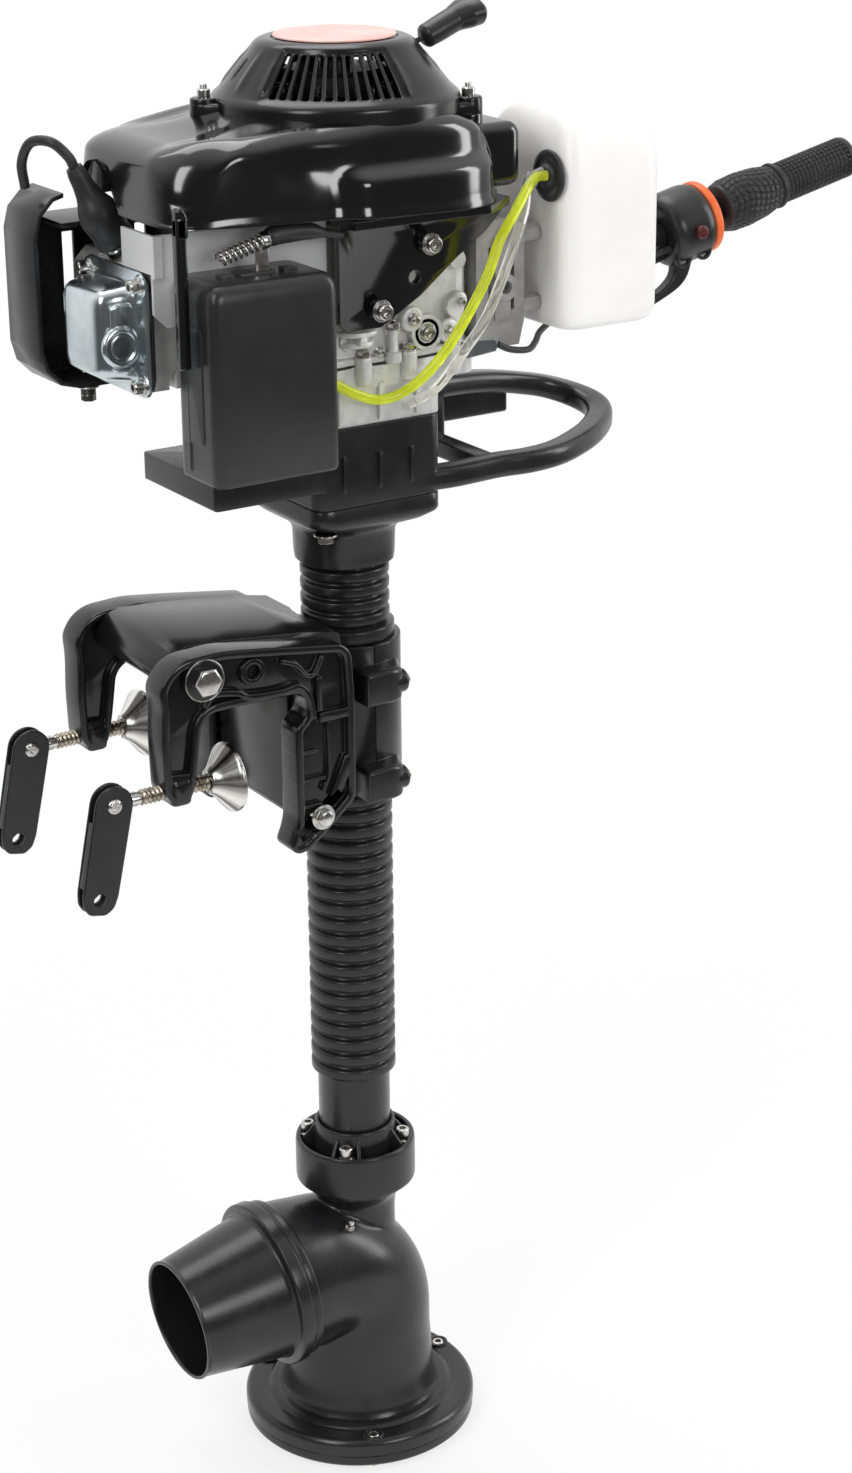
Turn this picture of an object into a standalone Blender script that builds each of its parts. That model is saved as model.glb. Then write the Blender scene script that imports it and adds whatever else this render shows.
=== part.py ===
"""Small air-cooled outboard motor with a jet pump, standing on its transom clamp.

The shapes are written around the steering axis: x = y = 0 is the axis of the
leg tube, +X points from the clamp to the leg, +Z is up, lengths in millimetres.
The empty "datum" then moves everything so that the origin of the part lies on
the transom: outer face, top edge, middle of the clamp.
"""
import math
import bpy
import bmesh
from mathutils import Matrix, Vector

for old in list(bpy.data.objects):
    bpy.data.objects.remove(old, do_unlink=True)

MM = 0.001
GAP = 0.3                      # clearance between touching pieces

# clamp
SEAT_X, SEAT_Z = -80.0, 68.0   # transom outer face and transom top
SIDE_IN, SIDE_OUT = 48.0, 70.0 # inner and outer faces of each bracket
SCREW_Y, SCREW_Z = 60.0, 18.0
SCREW_R = 5.0
PIN_X = -210.0                 # paddle pin
PAD_FACE_X, PAD_R = -124.0, 23.0
PADDLE_TILT = math.radians(12)
TILT_X, TILT_Z = -146.0, 91.0  # tilt bolt
TILT_R = 6.0
TRIM_X, TRIM_Z = -62.0, -21.0  # trim bolt in the arc slot
# leg
TUBE_R, TUBE_IN = 25.5, 21.5
RIB_R, RIB_VALLEY, RIB_PITCH = 30.0, 27.4, 11.3
SLEEVE_IN, SLEEVE_OUT = 31.2, 37.0
SLEEVE_LOW, SLEEVE_HIGH = -30.0, 76.0
# pump
COLLAR_R, COLLAR_TOP, COLLAR_LOW = 43.0, -305.0, -337.0
NOZZLE_AXIS = Vector((-78.1, 0.0, -6.8)).normalized()
RING_CENTRE = Vector((-71.0, 0.0, -404.0))
RING_R, NOZZLE_R, NOZZLE_L = 60.6, 43.3, 78.4
FOOT_R, FOOT_TOP, FOOT_SEAM, FOOT_LOW = 84.5, -511.0, -523.5, -533.0
# engine
DECK_LOW, DECK_TOP = 178.4, 231.0
CASE_SEAM = 270.2
BORE_Z = 306.0                 # height of the cylinder's axis
HEAD_X = -156.0
SHROUD_LOW, SHROUD_TOP = 370.0, 430.0
COVER_TOP = 470.0
TANK = (129.0, 206.0, -74.0, 30.0, 276.0, 415.0)
# tiller
TILLER_Y = 52.0
TILLER_A = Vector((95.0, TILLER_Y, 258.0))
TILLER_D = Vector((168.8, 0.0, 37.9)).normalized()

datum = bpy.data.objects.new("datum", None)
datum.location = (-SEAT_X * MM, 0.0, -SEAT_Z * MM)
bpy.context.scene.collection.objects.link(datum)


# materials

PAINT = {}


def paint(name, colour, rough, metal, alpha=1.0):
    mat = bpy.data.materials.new(name)
    mat.use_nodes = True
    node = mat.node_tree.nodes["Principled BSDF"]
    node.inputs["Base Color"].default_value = (*colour, 1.0)
    node.inputs["Roughness"].default_value = rough
    node.inputs["Metallic"].default_value = metal
    node.inputs["Alpha"].default_value = alpha
    mat.diffuse_color = (*colour, 1.0)
    PAINT[name] = mat


paint("satin_black", (0.018, 0.018, 0.020), 0.42, 0.0)
paint("gloss_black", (0.006, 0.006, 0.007), 0.12, 0.0)
paint("cast_black", (0.010, 0.010, 0.011), 0.25, 0.0)
paint("rubber", (0.012, 0.012, 0.012), 0.75, 0.0)
paint("steel", (0.72, 0.71, 0.69), 0.25, 1.0)
paint("zinc", (0.62, 0.68, 0.70), 0.22, 1.0)
paint("aluminium", (0.66, 0.66, 0.67), 0.45, 1.0)
paint("grey_metal", (0.45, 0.44, 0.43), 0.5, 1.0)
paint("white_plastic", (0.90, 0.88, 0.87), 0.4, 0.0)
paint("orange", (0.90, 0.16, 0.04), 0.4, 0.0)
paint("salmon", (0.70, 0.27, 0.22), 0.5, 0.0)
paint("fuel_yellow", (0.72, 0.78, 0.05), 0.15, 0.0, 0.6)
paint("clear_hose", (0.80, 0.78, 0.72), 0.1, 0.0, 0.4)
paint("foam", (0.05, 0.05, 0.05), 0.95, 0.0)
paint("red", (0.6, 0.02, 0.02), 0.4, 0.0)


# solids

def raw(bm, name="work"):
    """A loose work solid, in metres, faces turned out."""
    bmesh.ops.remove_doubles(bm, verts=bm.verts, dist=1e-6)
    bmesh.ops.recalc_face_normals(bm, faces=bm.faces)
    mesh = bpy.data.meshes.new(name)
    bm.to_mesh(mesh)
    bm.free()
    ob = bpy.data.objects.new(name, mesh)
    bpy.context.scene.collection.objects.link(ob)
    return ob


def from_rings(rings, closed=False, capped=True):
    """Skin a list of equal rings of points; closed joins the last to the first."""
    bm = bmesh.new()
    rows = [[bm.verts.new(Vector(p) * MM) for p in ring] for ring in rings]
    count = len(rows[0])
    pairs = list(zip(rows, rows[1:])) + ([(rows[-1], rows[0])] if closed else [])
    for low, high in pairs:
        for i in range(count):
            j = (i + 1) % count
            bm.faces.new((low[i], low[j], high[j], high[i]))
    if capped and not closed:
        bm.faces.new(list(reversed(rows[0])))
        bm.faces.new(rows[-1])
    return raw(bm)


def turned(profile, count=32, centre=(0, 0, 0), axis=(0, 0, 1), turn=0.0):
    """Turn a closed (radius, height) profile about an axis through centre.

    A profile that starts and ends at radius 0 is a solid, any other is a ring.
    """
    spin = Vector((0, 0, 1)).rotation_difference(Vector(axis)).to_matrix()
    centre = Vector(centre)
    bm = bmesh.new()
    rows = []
    flat = []
    if profile[0][0] < 1e-6 and abs(profile[0][1] - profile[1][1]) < 1e-6:
        profile = profile[1:]
        flat.append(0)
    if profile[-1][0] < 1e-6 and abs(profile[-1][1] - profile[-2][1]) < 1e-6:
        profile = profile[:-1]
        flat.append(-1)
    for radius, height in profile:
        if radius < 1e-6:
            rows.append([bm.verts.new((spin @ Vector((0, 0, height)) + centre) * MM)])
            continue
        row = []
        for i in range(count):
            a = turn + 2 * math.pi * i / count
            p = spin @ Vector((radius * math.cos(a), radius * math.sin(a), height)) + centre
            row.append(bm.verts.new(p * MM))
        rows.append(row)
    solid = bool(flat) or len(rows[0]) == 1
    for end in flat:
        bm.faces.new(rows[end])
    pairs = list(zip(rows, rows[1:])) + ([] if solid else [(rows[-1], rows[0])])
    for low, high in pairs:
        for i in range(count):
            j = (i + 1) % count
            if len(low) == 1 and len(high) == 1:
                continue
            if len(low) == 1:
                bm.faces.new((low[0], high[j], high[i]))
            elif len(high) == 1:
                bm.faces.new((low[i], low[j], high[0]))
            else:
                bm.faces.new((low[i], low[j], high[j], high[i]))
    return raw(bm)


def rod(a, b, radius, count=16, turn=0.0):
    a, b = Vector(a), Vector(b)
    return turned([(0, 0), (radius, 0), (radius, (b - a).length), (0, (b - a).length)],
                  count, a, b - a, turn)


def cone(a, b, ra, rb, count=20):
    a, b = Vector(a), Vector(b)
    return turned([(0, 0), (ra, 0), (rb, (b - a).length), (0, (b - a).length)], count, a, b - a)


def plate(outline, low, high, plane="XZ"):
    """Extrude a flat outline; XZ runs along Y, XY along Z, YZ along X."""
    put = {"XZ": lambda a, b, c: (a, c, b), "XY": lambda a, b, c: (a, b, c),
           "YZ": lambda a, b, c: (c, a, b)}[plane]
    return from_rings([[put(a, b, low) for a, b in outline], [put(a, b, high) for a, b in outline]])


def rounded(x0, x1, y0, y1, r, steps=4):
    """Outline of a rectangle with round corners."""
    out = []
    for cx, cy, start in ((x1 - r, y1 - r, 0), (x0 + r, y1 - r, 90), (x0 + r, y0 + r, 180), (x1 - r, y0 + r, 270)):
        for i in range(steps + 1):
            a = math.radians(start + 90 * i / steps)
            out.append((cx + r * math.cos(a), cy + r * math.sin(a)))
    return out


def block(x0, x1, y0, y1, z0, z1, bevel=0.0, segments=2):
    ob = plate([(x0, y0), (x1, y0), (x1, y1), (x0, y1)], z0, z1, "XY")
    if bevel:
        bm = bmesh.new()
        bm.from_mesh(ob.data)
        bmesh.ops.bevel(bm, geom=bm.edges[:], offset=bevel * MM, segments=segments,
                        profile=0.5, affect="EDGES", clamp_overlap=True)
        bm.to_mesh(ob.data)
        bm.free()
    return ob


def arc(cx, cz, r, start, end, steps):
    return [(cx + r * math.cos(math.radians(start + (end - start) * i / steps)),
             cz + r * math.sin(math.radians(start + (end - start) * i / steps))) for i in range(steps + 1)]


def combine(ob, other, how):
    mod = ob.modifiers.new(how.lower(), "BOOLEAN")
    mod.operation = how
    mod.solver = "EXACT"
    mod.object = other
    graph = bpy.context.evaluated_depsgraph_get()
    mesh = bpy.data.meshes.new_from_object(ob.evaluated_get(graph))
    ob.modifiers.clear()
    ob.data = mesh
    bpy.data.objects.remove(other, do_unlink=True)
    return ob


def cut(ob, *others):
    for other in others:
        combine(ob, other, "DIFFERENCE")
    return ob


def join(ob, *others):
    for other in others:
        combine(ob, other, "UNION")
    return ob


def mirrored(ob):
    """The same solid on the other side of the middle plane."""
    twin = ob.copy()
    twin.data = ob.data.copy()
    bpy.context.scene.collection.objects.link(twin)
    twin.data.transform(Matrix.Scale(-1, 4, (0, 1, 0)))
    twin.data.flip_normals()
    return twin


def named(ob, name, material, pivot=(0, 0, 0), smooth=35):
    """Name a finished solid and put its origin on its pivot, under the datum."""
    pivot = Vector(pivot) * MM
    ob.data.transform(Matrix.Translation(-pivot))
    ob.name = name
    ob.data.name = name
    ob.location = pivot
    ob.parent = datum
    ob.data.materials.clear()
    ob.data.materials.append(PAINT[material])
    ob.data.shade_smooth()
    ob.data.set_sharp_from_angle(angle=math.radians(smooth))
    return ob


def smooth_path(points, step):
    """Points every step along a smooth curve through the route's own points."""
    pts = [Vector(p) for p in points]
    pts = [2 * pts[0] - pts[1]] + pts + [2 * pts[-1] - pts[-2]]
    fine = []
    for a, b, c, d in zip(pts, pts[1:], pts[2:], pts[3:]):
        for k in range(40):
            t = k / 40
            fine.append(0.5 * ((2 * b) + (c - a) * t + (2 * a - 5 * b + 4 * c - d) * t * t
                               + (3 * b - a - 3 * c + d) * t ** 3))
    fine.append(pts[-2])
    out, run = [fine[0]], 0.0
    for p, q in zip(fine, fine[1:]):
        run += (q - p).length
        if run >= step:
            out.append(q)
            run = 0.0
    if (out[-1] - fine[-1]).length < step * 0.4:
        out.pop()
    out.append(fine[-1])
    return out


def hose(points, radius, name, material, step=None):
    """A hose or cable: a poly curve with a round bevel and filled ends."""
    curve = bpy.data.curves.new(name, "CURVE")
    curve.dimensions = "3D"
    curve.bevel_depth = radius * MM
    curve.bevel_resolution = 2
    curve.use_fill_caps = True
    line = smooth_path(points, step or radius * 5)
    line.insert(1, line[0] + (Vector(points[1]) - line[0]).normalized() * 3)
    spline = curve.splines.new("POLY")
    spline.points.add(len(line) - 1)
    for spot, p in zip(spline.points, line):
        spot.co = (*(p * MM), 1.0)
    curve.materials.append(PAINT[material])
    ob = bpy.data.objects.new(name, curve)
    bpy.context.scene.collection.objects.link(ob)
    ob.parent = datum
    return ob


# transom clamp

def bracket():
    outline = ([(-157, 12), (-171, 12), (-176, 19), (-177, 50), (-176, 72)]
               + arc(-153, 81, 25, 165, 95, 3)
               + [(-132, 107), (-100, 103), (-58, 97)] + arc(-50, 83, 13, 70, 0, 3)
               + [(-35.5, 60), (-35.5, -6)] + arc(-47, -8, 11.5, -20, -45, 1)
               + [(-60, -34), (-72, -43), (-81, -44), (-86, -39), (-80, -24), (-80, 44)]
               + [(-71.5, 50), (-71, 60), (-76, 68), (-88, 68), (-138, 68)]
               + arc(-142, 54.5, 13.5, 90, 165, 2) + [(-155.5, 34)])
    ob = plate(outline, -SIDE_OUT, -SIDE_IN)
    soften = bmesh.new()
    soften.from_mesh(ob.data)
    rim = [e for e in soften.edges if all(abs(v.co.y + SIDE_OUT * MM) < 1e-6 for v in e.verts)]
    bmesh.ops.bevel(soften, geom=rim, offset=5 * MM, segments=1, affect="EDGES", clamp_overlap=False)
    soften.to_mesh(ob.data)
    soften.free()
    pockets = (
        [(-128, 98), (-118, 101), (-66, 93), (-62, 79), (-84, 75), (-104, 77), (-124, 84)],
        [(-72, 38), (-62, 46), (-50, 47), (-43, 42), (-43, 2), (-73, -18)],
        [(-172, 32), (-172, 64), (-168, 82), (-163, 84), (-162, 34)],
        [(-52, 56), (-43, 56), (-42, 78), (-48, 88), (-61, 74), (-61, 62)],
    )
    for shape in pockets:
        cut(ob, plate(shape, -SIDE_OUT - 2, -SIDE_OUT + 5), plate(shape, -SIDE_IN - 5, -SIDE_IN + 2))
    # arc slot about the tilt bolt
    reach = math.hypot(TRIM_X - TILT_X, TRIM_Z - TILT_Z)
    mid = math.degrees(math.atan2(TRIM_Z - TILT_Z, TRIM_X - TILT_X))
    slot = arc(TILT_X, TILT_Z, reach + 4.6, mid - 8.4, mid + 8.4, 4) + arc(TILT_X, TILT_Z, reach - 4.6, mid + 8.4, mid - 8.4, 4)
    cut(ob, plate(slot, -SIDE_OUT - 3, -SIDE_IN + 3))
    cut(ob, rod((TILT_X, -90, TILT_Z), (TILT_X, -30, TILT_Z), TILT_R + 0.35, 16))
    cut(ob, rod((-190, -SCREW_Y, SCREW_Z), (-150, -SCREW_Y, SCREW_Z), SCREW_R + 0.4, 16))
    return ob


def bracket_pair():
    near = bracket()
    far = mirrored(near)
    named(near, "bracket_near", "cast_black")
    named(far, "bracket_far", "cast_black")


def tilt_bolt():
    ob = rod((TILT_X, -74, TILT_Z), (TILT_X, 76, TILT_Z), TILT_R, 16)
    join(ob, rod((TILT_X, -78, TILT_Z), (TILT_X, -SIDE_OUT - GAP, TILT_Z), 11, 6),
         rod((TILT_X, SIDE_OUT + GAP, TILT_Z), (TILT_X, 79, TILT_Z), 11, 6))
    named(ob, "tilt_bolt", "steel")


def clamp_screws():
    for side, word in ((-1, "near"), (1, "far")):
        y = side * SCREW_Y
        screw = rod((PIN_X + 15, y, SCREW_Z), (-132.4, y, SCREW_Z), SCREW_R, 16)
        join(screw, block(PIN_X, PIN_X + 18, y - 2.4, y + 2.4, SCREW_Z - 4.4, SCREW_Z + 4.4),
             rod((PIN_X, y - 2.4, SCREW_Z), (PIN_X, y + 2.4, SCREW_Z), 8.5, 14))
        cut(screw, rod((PIN_X, y - 5, SCREW_Z), (PIN_X, y + 5, SCREW_Z), 3.4, 12))
        named(screw, "clamp_screw_" + word, "steel", (PIN_X, y, SCREW_Z))
        f = PAD_FACE_X
        pad = turned([(0, f - 8.2), (SCREW_R + 0.4, f - 8.2), (SCREW_R + 0.4, f - 18), (9, f - 18), (10, f - 14),
                      (PAD_R, f - 3.4), (PAD_R, f), (16, f), (12, f - 4), (0, f - 4)],
                     18, (0, y, SCREW_Z), (1, 0, 0))
        named(pad, "clamp_pad_" + word, "steel", (f, y, SCREW_Z))
        paddle(y, word)


def paddle(y, word):
    head = arc(0, 0, 13.5, 0, 180, 7)
    outline = [(px + PIN_X, pz + SCREW_Z) for px, pz in head + [(-13, -30), (-12, -66), (-7.5, -73), (7.5, -73), (12, -66), (13, -30)]]
    ob = plate(outline, y - 4.8, y + 4.8)
    cut(ob, block(PIN_X - 20, PIN_X + 20, y - 2.75, y + 2.75, SCREW_Z - 11, SCREW_Z + 20))
    cut(ob, rod((PIN_X, y - 9, SCREW_Z - 63), (PIN_X, y + 9, SCREW_Z - 63), 4.6, 12))
    join(ob, rod((PIN_X, y - 6.4, SCREW_Z), (PIN_X, y + 6.4, SCREW_Z), 3.0, 12))
    pivot = Vector((PIN_X, y, SCREW_Z)) * MM
    ob.data.transform(Matrix.Translation(pivot) @ Matrix.Rotation(PADDLE_TILT, 4, "Y") @ Matrix.Translation(-pivot))
    named(ob, "paddle_" + word, "satin_black", (PIN_X, y, SCREW_Z))


# swivel

def saddle():
    outline = (arc(TILT_X, TILT_Z, 16, 270, 90, 6)
               + [(-120, 106), (-60, 100), (-34, 95), (-30, 80), (-30, -18), (-44, -30)]
               + arc(TRIM_X, TRIM_Z, 10, -60, -180, 3) + [(-74, 70), (-80, 78)])
    wide = SIDE_IN - 1.0
    ob = plate(outline, -wide, wide)
    cut(ob, block(-67, -20, -38, 38, -50, 84))
    inner = arc(TRIM_X, TRIM_Z, 10, 0, 360, 9)[:-1]
    join(ob, plate(inner, -wide, wide))
    join(ob, rod((0, 0, SLEEVE_LOW), (0, 0, SLEEVE_HIGH), SLEEVE_OUT, 24))
    for z0, z1 in ((40, 62), (-29, -7)):
        for s in (-1, 1):
            join(ob, block(-15, 8, min(s * 30, s * 52), max(s * 30, s * 52), z0, z1))
    join(ob, block(-68, -30, -5, 5, -20, 88))
    cut(ob, rod((0, 0, -60), (0, 0, 92.5), SLEEVE_IN, 24))
    cut(ob, rod((0, 0, SLEEVE_HIGH + 0.1), (0, 0, 130), 37.5, 24))
    cut(ob, block(-0.3, 60, -70, 70, -60, 120))
    cut(ob, rod((TILT_X, -90, TILT_Z), (TILT_X, 90, TILT_Z), TILT_R + 0.4, 20))
    cut(ob, rod((TRIM_X, -90, TRIM_Z), (TRIM_X, 90, TRIM_Z), 4.35, 16))
    named(ob, "saddle", "gloss_black", (TILT_X, 0, TILT_Z))


def sleeve_cap():
    ob = rod((0, 0, SLEEVE_LOW), (0, 0, SLEEVE_HIGH), SLEEVE_OUT, 24)
    for z0, z1 in ((40, 62), (-29, -7)):
        low, high = z0 + 5, z1 - 3
        horn = [(-8, z0), (-8, z1), (9, z1), (16, high), (16, low), (8, z0)]
        for s in (-1, 1):
            join(ob, plate(horn, min(s * 30, s * 52), max(s * 30, s * 52)))
    cut(ob, rod((0, 0, -60), (0, 0, 120), SLEEVE_IN, 24))
    cut(ob, block(-60, 0.3, -70, 70, -60, 120))
    named(ob, "sleeve_cap", "satin_black")
    bush = turned([(TUBE_R + 0.3, SLEEVE_LOW), (SLEEVE_IN - 0.3, SLEEVE_LOW), (SLEEVE_IN - 0.3, SLEEVE_HIGH), (TUBE_R + 0.3, SLEEVE_HIGH)], 24)
    named(bush, "steer_bush", "foam")


def trim_bolt():
    ob = rod((TRIM_X, -75, TRIM_Z), (TRIM_X, 75, TRIM_Z), 4.0, 12)
    join(ob, rod((TRIM_X, -76, TRIM_Z), (TRIM_X, -SIDE_OUT - GAP, TRIM_Z), 8, 6),
         rod((TRIM_X, SIDE_OUT + GAP, TRIM_Z), (TRIM_X, 76, TRIM_Z), 8, 6))
    named(ob, "trim_bolt", "steel")


# leg

def leg_tube():
    ob = turned([(TUBE_IN, COLLAR_LOW + 3.3), (TUBE_R, COLLAR_LOW + 3.3), (TUBE_R, SLEEVE_HIGH + 0.4), (33, SLEEVE_HIGH + 0.4),
                 (33, SLEEVE_HIGH + 9), (TUBE_R, SLEEVE_HIGH + 10), (TUBE_R, 165), (TUBE_IN, 165)], 24)
    named(ob, "leg_tube", "satin_black")


def ribs(low, high, name):
    """Bellows: each rib is a flat crest with sloped sides over a flat valley."""
    count = max(1, round((high - low) / RIB_PITCH))
    pitch = (high - low) / count
    profile = [(TUBE_R + 1.1, low)]
    for k in range(count):
        z = low + k * pitch
        profile += [(RIB_VALLEY, z + 0.02 * pitch), (RIB_R, z + 0.24 * pitch), (RIB_R, z + 0.72 * pitch)]
    profile += [(RIB_VALLEY, high), (TUBE_R + 1.1, high)]
    named(turned(profile, 14), name, "satin_black")


def adapter():
    def ring(hx, hy, r, z, n=3):
        return [(x, y, z) for x, y in rounded(-hx, hx, -hy, hy, r, n)]
    ob = from_rings([ring(28.5, 28.5, 28.4, 128), ring(32, 32, 31.9, 134), ring(32.5, 32.5, 32.4, 150),
                     ring(37, 38, 30, 158), ring(47, 49, 16, 164), ring(48, 50, 13, 166), ring(48, 50, 13, 178)])
    cut(ob, turned([(0, 120), (TUBE_R + 0.8, 120), (TUBE_R + 0.8, 165.4), (37, 172), (40, 185), (0, 185)], 20))
    for s in (-1, 1):
        join(ob, rod((s * 37, s * 39, 152), (s * 37, s * 39, 170), 6.2, 6))
    named(ob, "adapter", "satin_black")


def deck():
    """Mount box, shelf and carry handle in one casting."""
    low, top = DECK_LOW, DECK_TOP
    ob = plate(rounded(-48, 47, -50, 50, 11), low, top, "XY")
    join(ob, plate(rounded(-122, 20, -49, 49, 5, 2), 191, 209, "XY"))
    for x in (-29, -2, 22):
        join(ob, block(x - 1.6, x + 1.6, -52.5, -45, 189, 214))
    # loop handle: near arm level, far arm rising to the top of the mount box
    near = [(30, -40, 186), (60, -42.5, 186), (95, -40, 186), (120, -42, 186), (145, -38, 186.3), (172, -25, 187),
            (196, -9, 188), (218, 12, 190), (227, 32, 193), (223, 52, 197), (206, 64, 203), (180, 66, 209),
            (150, 61, 215), (110, 50, 220), (60, 38, 222), (36, 34, 222)]
    line = smooth_path(near, 26)
    rings = []
    for k, p in enumerate(line):
        q = line[min(k + 1, len(line) - 1)] - line[max(k - 1, 0)]
        side = Vector((-q.y, q.x, 0)).normalized()
        w, h = 9.0, 7.6
        rings.append([p + side * a * w + Vector((0, 0, b * h)) for a, b in
                      ((-1, -0.7), (-0.7, -1), (0.7, -1), (1, -0.7), (1, 0.7), (0.7, 1), (-0.7, 1), (-1, 0.7))])
    join(ob, from_rings(rings))
    join(ob, plate(rounded(83, 98, -38, 55, 3, 1), 181, 192.5, "XY"))
    join(ob, plate([(80, 36), (108, 40), (108, 60), (80, 58)], 183, 222, "XY"))
    join(ob, block(60, 173, 60, 76, 190, 210))
    cut(ob, rod((0, 0, 160), (0, 0, 250), 40, 20))
    named(ob, "deck", "satin_black")


# pump

def pump_collar():
    t, b = COLLAR_TOP, COLLAR_LOW
    ob = turned([(13, b), (COLLAR_R, b), (COLLAR_R, t), (COLLAR_R - 4, t), (COLLAR_R - 4, t - 15), (29, t - 15),
                 (28.5, t + 13), (TUBE_R + 0.3, t + 13), (TUBE_R + 0.3, b + 3), (13, b + 3)], 24)
    for k in range(4):
        a = math.radians(-132 + 90 * k)
        for turn in (-14, 14):
            g = a + math.radians(turn)
            c, s = math.cos(g), math.sin(g)
            n = Vector((-s, c, 0)) * 1.6
            tri = [(27.4, t - 17), (40.5, t - 17), (40.5, t - 4), (29, t + 10), (27.4, t + 10)]
            join(ob, from_rings([[Vector((c * r, s * r, z)) + n * m for r, z in tri] for m in (-1, 1)]))
        join(ob, rod((34.3 * math.cos(a), 34.3 * math.sin(a), t - 17), (34.3 * math.cos(a), 34.3 * math.sin(a), t - 6), 3.9, 8))
    named(ob, "pump_collar", "satin_black")


def pump_body():
    top = COLLAR_LOW - GAP
    outer = [(0, top), (COLLAR_R, top), (COLLAR_R, top - 7), (40, top - 14), (29, top - 26), (29, -398),
             (40, -412), (48, -432), (53, -460), (54, -498), (66, -505.5), (69, FOOT_TOP),
             (FOOT_R - 1.5, FOOT_TOP), (FOOT_R, FOOT_TOP - 3), (FOOT_R, FOOT_SEAM), (0, FOOT_SEAM)]
    ob = turned(outer, 24)
    root = RING_CENTRE - NOZZLE_AXIS * 72
    join(ob, turned([(0, 0), (48, 0), (54, 30), (58, 64), (58, 72 - GAP), (0, 72 - GAP)], 20, root, NOZZLE_AXIS))
    cut(ob, turned([(0, FOOT_SEAM - 5), (47, FOOT_SEAM - 5), (47, -460), (40, -432), (0, -416)], 16))
    cut(ob, turned([(0, 26), (30, 27), (44, 40), (49, 60), (49, 80), (0, 80)], 16, root, NOZZLE_AXIS))
    cut(ob, rod((0, 0, -330), (0, 0, -460), 5.35, 14))
    join(ob, rod((-36, -30, -356), (-41, -35, -351), 2.5, 8))
    for k in range(3):
        a = math.radians(-114 + 120 * k)
        x, y = 75 * math.cos(a), 75 * math.sin(a)
        join(ob, rod((x, y, FOOT_TOP - 3), (x, y, FOOT_TOP + 4), 5.2, 10))
        cut(ob, rod((x, y, FOOT_TOP + 1), (x, y, FOOT_TOP + 8), 2.6, 6))
    named(ob, "pump_body", "satin_black")


def nozzle():
    n, r = NOZZLE_L, NOZZLE_R
    ob = turned([(49, 0), (RING_R, 0), (RING_R, 10), (54, 10), (r + 1.2, n),
                 (r - 2.4, n), (50, 12)], 24, RING_CENTRE, NOZZLE_AXIS)
    named(ob, "nozzle", "satin_black")


def intake_plate():
    ob = turned([(44, FOOT_LOW), (FOOT_R - 3, FOOT_LOW), (FOOT_R - 0.5, FOOT_LOW + 2.5), (FOOT_R - 0.5, FOOT_SEAM - GAP), (44, FOOT_SEAM - GAP)], 24)
    for y in (-27, -9, 9, 27):
        half = math.sqrt(46 ** 2 - y ** 2)
        join(ob, block(-half, half, y - 2, y + 2, FOOT_LOW + 1, FOOT_LOW + 6))
    for k in range(3):
        a = math.radians(-114 + 120 * k)
        x, y = 75 * math.cos(a), 75 * math.sin(a)
        join(ob, rod((x, y, FOOT_LOW + 2), (x, y, FOOT_LOW - 3.5), 4.6, 6))
    named(ob, "intake_plate", "satin_black")


def impeller():
    ob = turned([(5.4, -492), (11, -492), (14, -484), (14, -462), (11, -455), (5.4, -455)], 12)
    for k in range(4):
        blade = []
        for i in range(4):
            t = i / 3
            a = math.radians(90 * k + 46 * t)
            z = -488 + 27 * t
            row = []
            for r, dz in ((12, -1.3), (45, -1.3), (45, 1.3), (12, 1.3)):
                row.append((r * math.cos(a), r * math.sin(a), z + dz))
            blade.append(row)
        join(ob, from_rings(blade))
    named(ob, "impeller", "aluminium")


def drive_shaft():
    ob = turned([(0, -496), (4, -496), (5, -494), (5, 192), (12, 192), (12, 200), (26, 203), (26, 221), (0, 221)], 14)
    named(ob, "drive_shaft", "steel")


def crankshaft():
    ob = turned([(0, 221.3), (24, 221.3), (24, 226), (9, 227), (9, 402), (6, 404), (6, 426), (0, 426)], 14)
    named(ob, "crankshaft", "steel")


# engine

def crankcase():
    cover = plate(rounded(-60, 48, -48, 48, 8, 3), DECK_TOP + GAP, 256, "XY")
    join(cover, plate(rounded(-62, 74, -50, 50, 10, 3), 255, CASE_SEAM, "XY"))
    for x in (-30, 0, 28):
        join(cover, block(x - 2, x + 2, -51, -44, 234, 258))
    cut(cover, rod((0, 0, 220), (0, 0, 280), 25, 16))
    named(cover, "crankcase_cover", "aluminium")
    case = plate(rounded(-60, 72, -46, 46, 12, 3), CASE_SEAM + GAP, 352, "XY")
    join(case, plate(rounded(-61, 73, -49, 49, 10, 3), CASE_SEAM + GAP, 276, "XY"))
    for x, z, r in ((-24, 288, 7), (8, 292, 6), (34, 286, 12), (56, 300, 7), (-11, 309, 6), (26, 345.5, 6), (58, 330, 6)):
        join(case, rod((x, -40, z), (x, -52, z), r, 10))
    join(case, rod((-50, -44, 332), (-50, -49.1, 332), 5, 10))
    cut(case, rod((34, -60, 286), (34, -48, 286), 7, 10))
    cut(case, rod((0, 0, 260), (0, 0, 360), 9.6, 14))
    named(case, "crankcase", "aluminium")


def rear_casting():
    ob = plate([(74.4, 268), (108, 268), (112, 284), (112, 346), (98, 352), (74.4, 352)], -48, 46)
    cut(ob, block(84, 104, -60, 60, 292, 334))
    join(ob, rod((94, -54, 308), (94, -36, 308), 9, 12), block(88, 100, -50, -30, 286, 340))
    cut(ob, rod((94, -60, 308), (94, -44, 308), 4.4, 12))
    for y in (-38, 10):
        for z in (292, 338):
            join(ob, rod((106, y, z), (TANK[0] - GAP, y, z), 6, 8))
    # socket for the tiller on the far side
    join(ob, block(78, 124, 36, 68, 242, 276, 3, 1))
    cut(ob, rod(TILLER_A - TILLER_D * 4, TILLER_A + TILLER_D * 60, 11.4, 16))
    named(ob, "rear_casting", "grey_metal")


PLUG_BASE = Vector((-146, 14, 347))
PLUG_D = Vector((-0.50, 0.06, 0.86)).normalized()


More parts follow.
